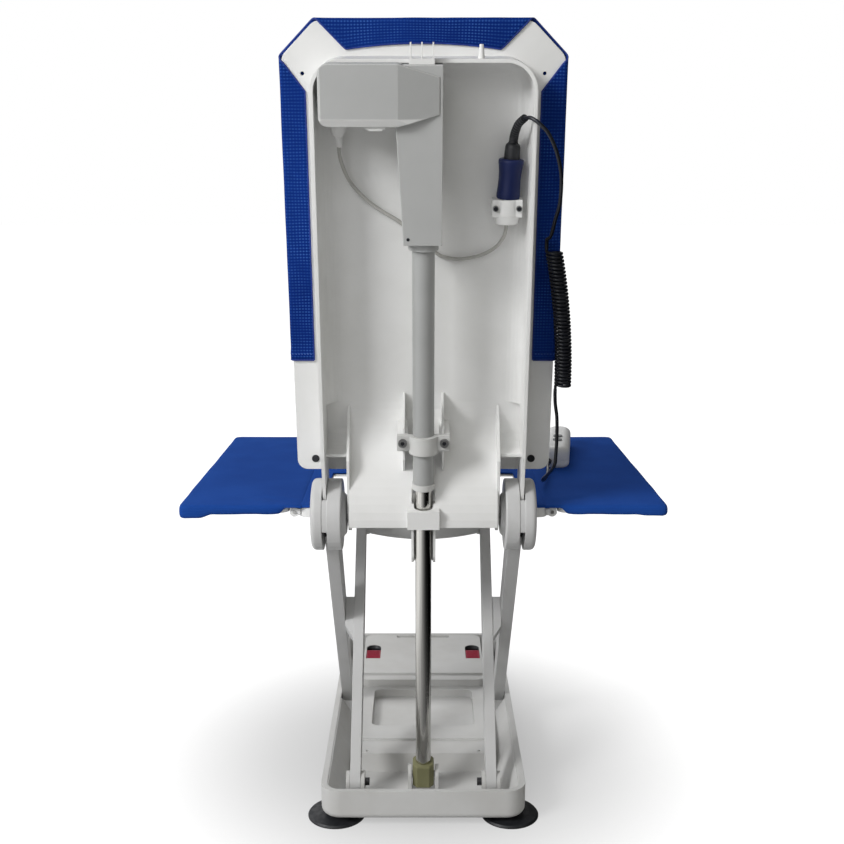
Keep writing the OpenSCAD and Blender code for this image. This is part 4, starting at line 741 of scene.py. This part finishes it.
slotIn, slotOut = seat["slot"]
seatColumns = [(0, -seat["half"]), (3, -seat["wing"]), (7, -slotOut), (13, -slotIn), (47, slotIn),
               (53, slotOut), (57, seat["wing"]), (60, seat["half"])]
seatRows = [(0, seat["front"] - seat["frontRun"]), (6, seat["front"]), (56, seat["slotEnd"]),
            (78, seat["notch"]), (86, seat["rear"]), (90, seat["rear"] + seat["rearRun"])]
seatShape = flatSheet(seatColumns, seatRows)
gone = []
for face in seatShape.faces:
    x, y, z = face.calc_center_median()
    inSlot = slotIn < abs(x) < slotOut and y > seat["slotEnd"]
    if inSlot or (abs(x) < seat["wing"] and y > seat["notch"]):
        gone.append(face)
bmesh.ops.delete(seatShape, geom=gone, context="FACES")
seatArea = sewSheet(seatShape, seatPoint)
seatCover = makePiece("seatCover", seatShape, "seatCloth")
thicken(seatCover, seat["thick"] / 1000)
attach(seatCover, "seat")
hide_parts("seat_cover")
print("seat cover:", round(seatArea, 4), "m2")

# black discs as painted shade in the screw sockets and in the column's small screw hole, and black half
# sleeves as painted shade inside the catch windows
trim = {
    "sockets": [(29.0, 45.1, 129.0), (-29.0, 45.1, 129.0), (-95.5, 8.9, 448.0), (-126.5, 8.9, 448.0)],
    "socketShadeWide": 6.0, "screw": (20.0, 62.0, 418.0), "screwHoleShadeWide": 4.4, "high": 0.6,
    "window": (96.0, -549.7), "windowWide": 26.8, "windowZ": (44.0, 60.5), "windowSides": 40,
    "windowShadeCut": 0.0005, "windowShadeThick": 0.0004,
}


def backDisc(shape, place, wide, sides):
    x, n, t = place
    made = bmesh.ops.create_cone(shape, cap_ends=True, segments=sides, radius1=wide / 2, radius2=wide / 2,
                                 depth=trim["high"])
    for vert in made["verts"]:
        across, up, out = vert.co
        vert.co = onBack(x + across, n + out, t - up)


# painted shade: black discs for the dark screw hole and the shadowed sockets
shadeDiscShape = bmesh.new()
backDisc(shadeDiscShape, trim["screw"], trim["screwHoleShadeWide"], sides=20)
for socket in trim["sockets"]:
    backDisc(shadeDiscShape, socket, trim["socketShadeWide"], sides=6)
makePiece("socketShadeDiscs", shadeDiscShape, "cordBlack", "backrest", False)
# painted shade: a black half sleeve inside each catch window
windowShadeShape = bmesh.new()
low, high = trim["windowZ"]
windowRadius = trim["windowWide"] / 2000
for side in (1, -1):
    made = bmesh.ops.create_cone(windowShadeShape, cap_ends=False, segments=trim["windowSides"],
                                 radius1=windowRadius, radius2=windowRadius, depth=(high - low) / 1000)
    rear = [vert for vert in made["verts"] if vert.co.y > trim["windowShadeCut"]]
    front = [vert for vert in made["verts"] if vert.co.y <= trim["windowShadeCut"]]
    bmesh.ops.delete(windowShadeShape, geom=rear, context="VERTS")
    middle = onBase(side * trim["window"][0], trim["window"][1], (low + high) / 2)
    bmesh.ops.translate(windowShadeShape, verts=front, vec=middle)
bmesh.ops.reverse_faces(windowShadeShape, faces=windowShadeShape.faces[:])
windowShade = makePiece("windowShade", windowShadeShape, "blackRubber")
addModifier(windowShade, "SOLIDIFY", thickness=trim["windowShadeThick"], offset=0.0)
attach(windowShade, "base")
print("trim made")

# floor with a painted shadow halo round the object, fading to white further out, and soft light from the
# upper left of the photograph
# each ramp is (low, high, value at low, value at high); mirror and softbox are what shiny metal shows
studio = {
    "floorHalf": 30, "shadowHaloGlow": (0.12, 0.62, 0.40, 1.0), "seenTone": 0.25, "bounceTone": 0.55,
    "mirror": (-0.8, 0.8, 0.0, 1.0), "mirrorCurve": 2.5, "mirrorLevel": 1.2,
    "ambient": (-0.6, 0.6, 0.19, 0.33), "softbox": (0.12, 0.6, 0.03, 1.1),
}
lamps = {
    "keyLamp": {"place": (2.5, 2.3, 2.5), "aim": (0, 0.2, 0.6), "size": 1.1, "power": 94},
    "rearLamp": {"place": (0.5, 1.9, 1.75), "aim": (0, 0.3, 1.0), "size": 1.0, "power": 5.0},
    "fillLamp": {"place": (-2.4, 2.4, 1.6), "aim": (0, 0.2, 0.6), "size": 2.4, "power": 6,
                 "tint": (1, 0.97, 0.78)},
    "frontLamp": {"place": (0.4, -2.8, 2.6), "aim": (0, 0, 0.5), "size": 2.4, "power": 44},
}
floorMaterial, floorTree, floorShader = startMaterial("paleFloor")
floorShader.inputs["Roughness"].default_value = 0.9
floorShader.inputs["Specular IOR Level"].default_value = 0.0
floorShader.inputs["Emission Color"].default_value = (1, 1, 1, 1)
floorRays = addNode(floorTree, "ShaderNodeLightPath").outputs
floorPlace = objectCoordinates(floorTree)
away = addNode(floorTree, "ShaderNodeVectorMath", {"Vector": floorPlace}, operation="LENGTH")
# painted shadow: the floor's seen glow is dim near the object and rises to white with distance
shadowHaloGlow = rampNode(floorTree, away.outputs["Value"], *studio["shadowHaloGlow"])
mirrorRamp = rampNode(floorTree, alongAxis(floorTree, floorPlace, "X"), *studio["mirror"])
mirrorShade = mathNode(floorTree, "POWER", mirrorRamp, studio["mirrorCurve"])
mirrored = mathNode(floorTree, "MULTIPLY", mirrorShade, studio["mirrorLevel"])
seenPart = mathNode(floorTree, "MULTIPLY", shadowHaloGlow, floorRays["Is Camera Ray"])
mirroredPart = mathNode(floorTree, "MULTIPLY", mirrored, floorRays["Is Glossy Ray"])
emission = mathNode(floorTree, "ADD", seenPart, mirroredPart)
floorTree.links.new(emission, floorShader.inputs["Emission Strength"])
seenTone = mathNode(floorTree, "MULTIPLY", floorRays["Is Camera Ray"], studio["seenTone"])
bounceTone = mathNode(floorTree, "MULTIPLY", floorRays["Is Diffuse Ray"], studio["bounceTone"])
floorTone = mathNode(floorTree, "ADD", seenTone, bounceTone)
floorTree.links.new(mixColour(floorTree, floorTone, (0, 0, 0), (1, 1, 1)), floorShader.inputs["Base Color"])
floorShape = bmesh.new()
bmesh.ops.create_grid(floorShape, x_segments=2, y_segments=2, size=studio["floorHalf"])
floorMesh = bpy.data.meshes.new("floor")
floorShape.to_mesh(floorMesh)
floorShape.free()
floorMesh.materials.append(floorMaterial)
floor = bpy.data.objects.new("floor", floorMesh)
bpy.context.scene.collection.objects.link(floor)

for name, spec in lamps.items():
    lamp = bpy.data.lights.new(name, "AREA")
    lamp.size = spec["size"]
    lamp.energy = spec["power"]
    lamp.color = spec.get("tint", (1, 1, 1))
    holder = bpy.data.objects.new(name, lamp)
    holder.location = spec["place"]
    aim = Vector(spec["aim"]) - Vector(spec["place"])
    holder.rotation_euler = aim.to_track_quat("-Z", "Y").to_euler()
    bpy.context.scene.collection.objects.link(holder)

world = bpy.data.worlds.new("studio")
bpy.context.scene.world = world
world.use_nodes = True
sky = world.node_tree
skyLight = sky.nodes["Background"]
skyLight.inputs["Color"].default_value = (1, 1, 1, 1)
skyRays = addNode(sky, "ShaderNodeLightPath").outputs
toward = alongAxis(sky, addNode(sky, "ShaderNodeTexCoord").outputs["Generated"], "X")
ambient = rampNode(sky, toward, *studio["ambient"])
softbox = rampNode(sky, toward, *studio["softbox"])
glossPart = mathNode(sky, "MULTIPLY", skyRays["Is Glossy Ray"], mathNode(sky, "SUBTRACT", softbox, ambient))
seen = mathNode(sky, "MAXIMUM", skyRays["Is Camera Ray"], skyRays["Is Transmission Ray"])
strength = mathNode(sky, "MAXIMUM", seen, mathNode(sky, "ADD", ambient, glossPart))
sky.links.new(strength, skyLight.inputs["Strength"])
print("studio set")
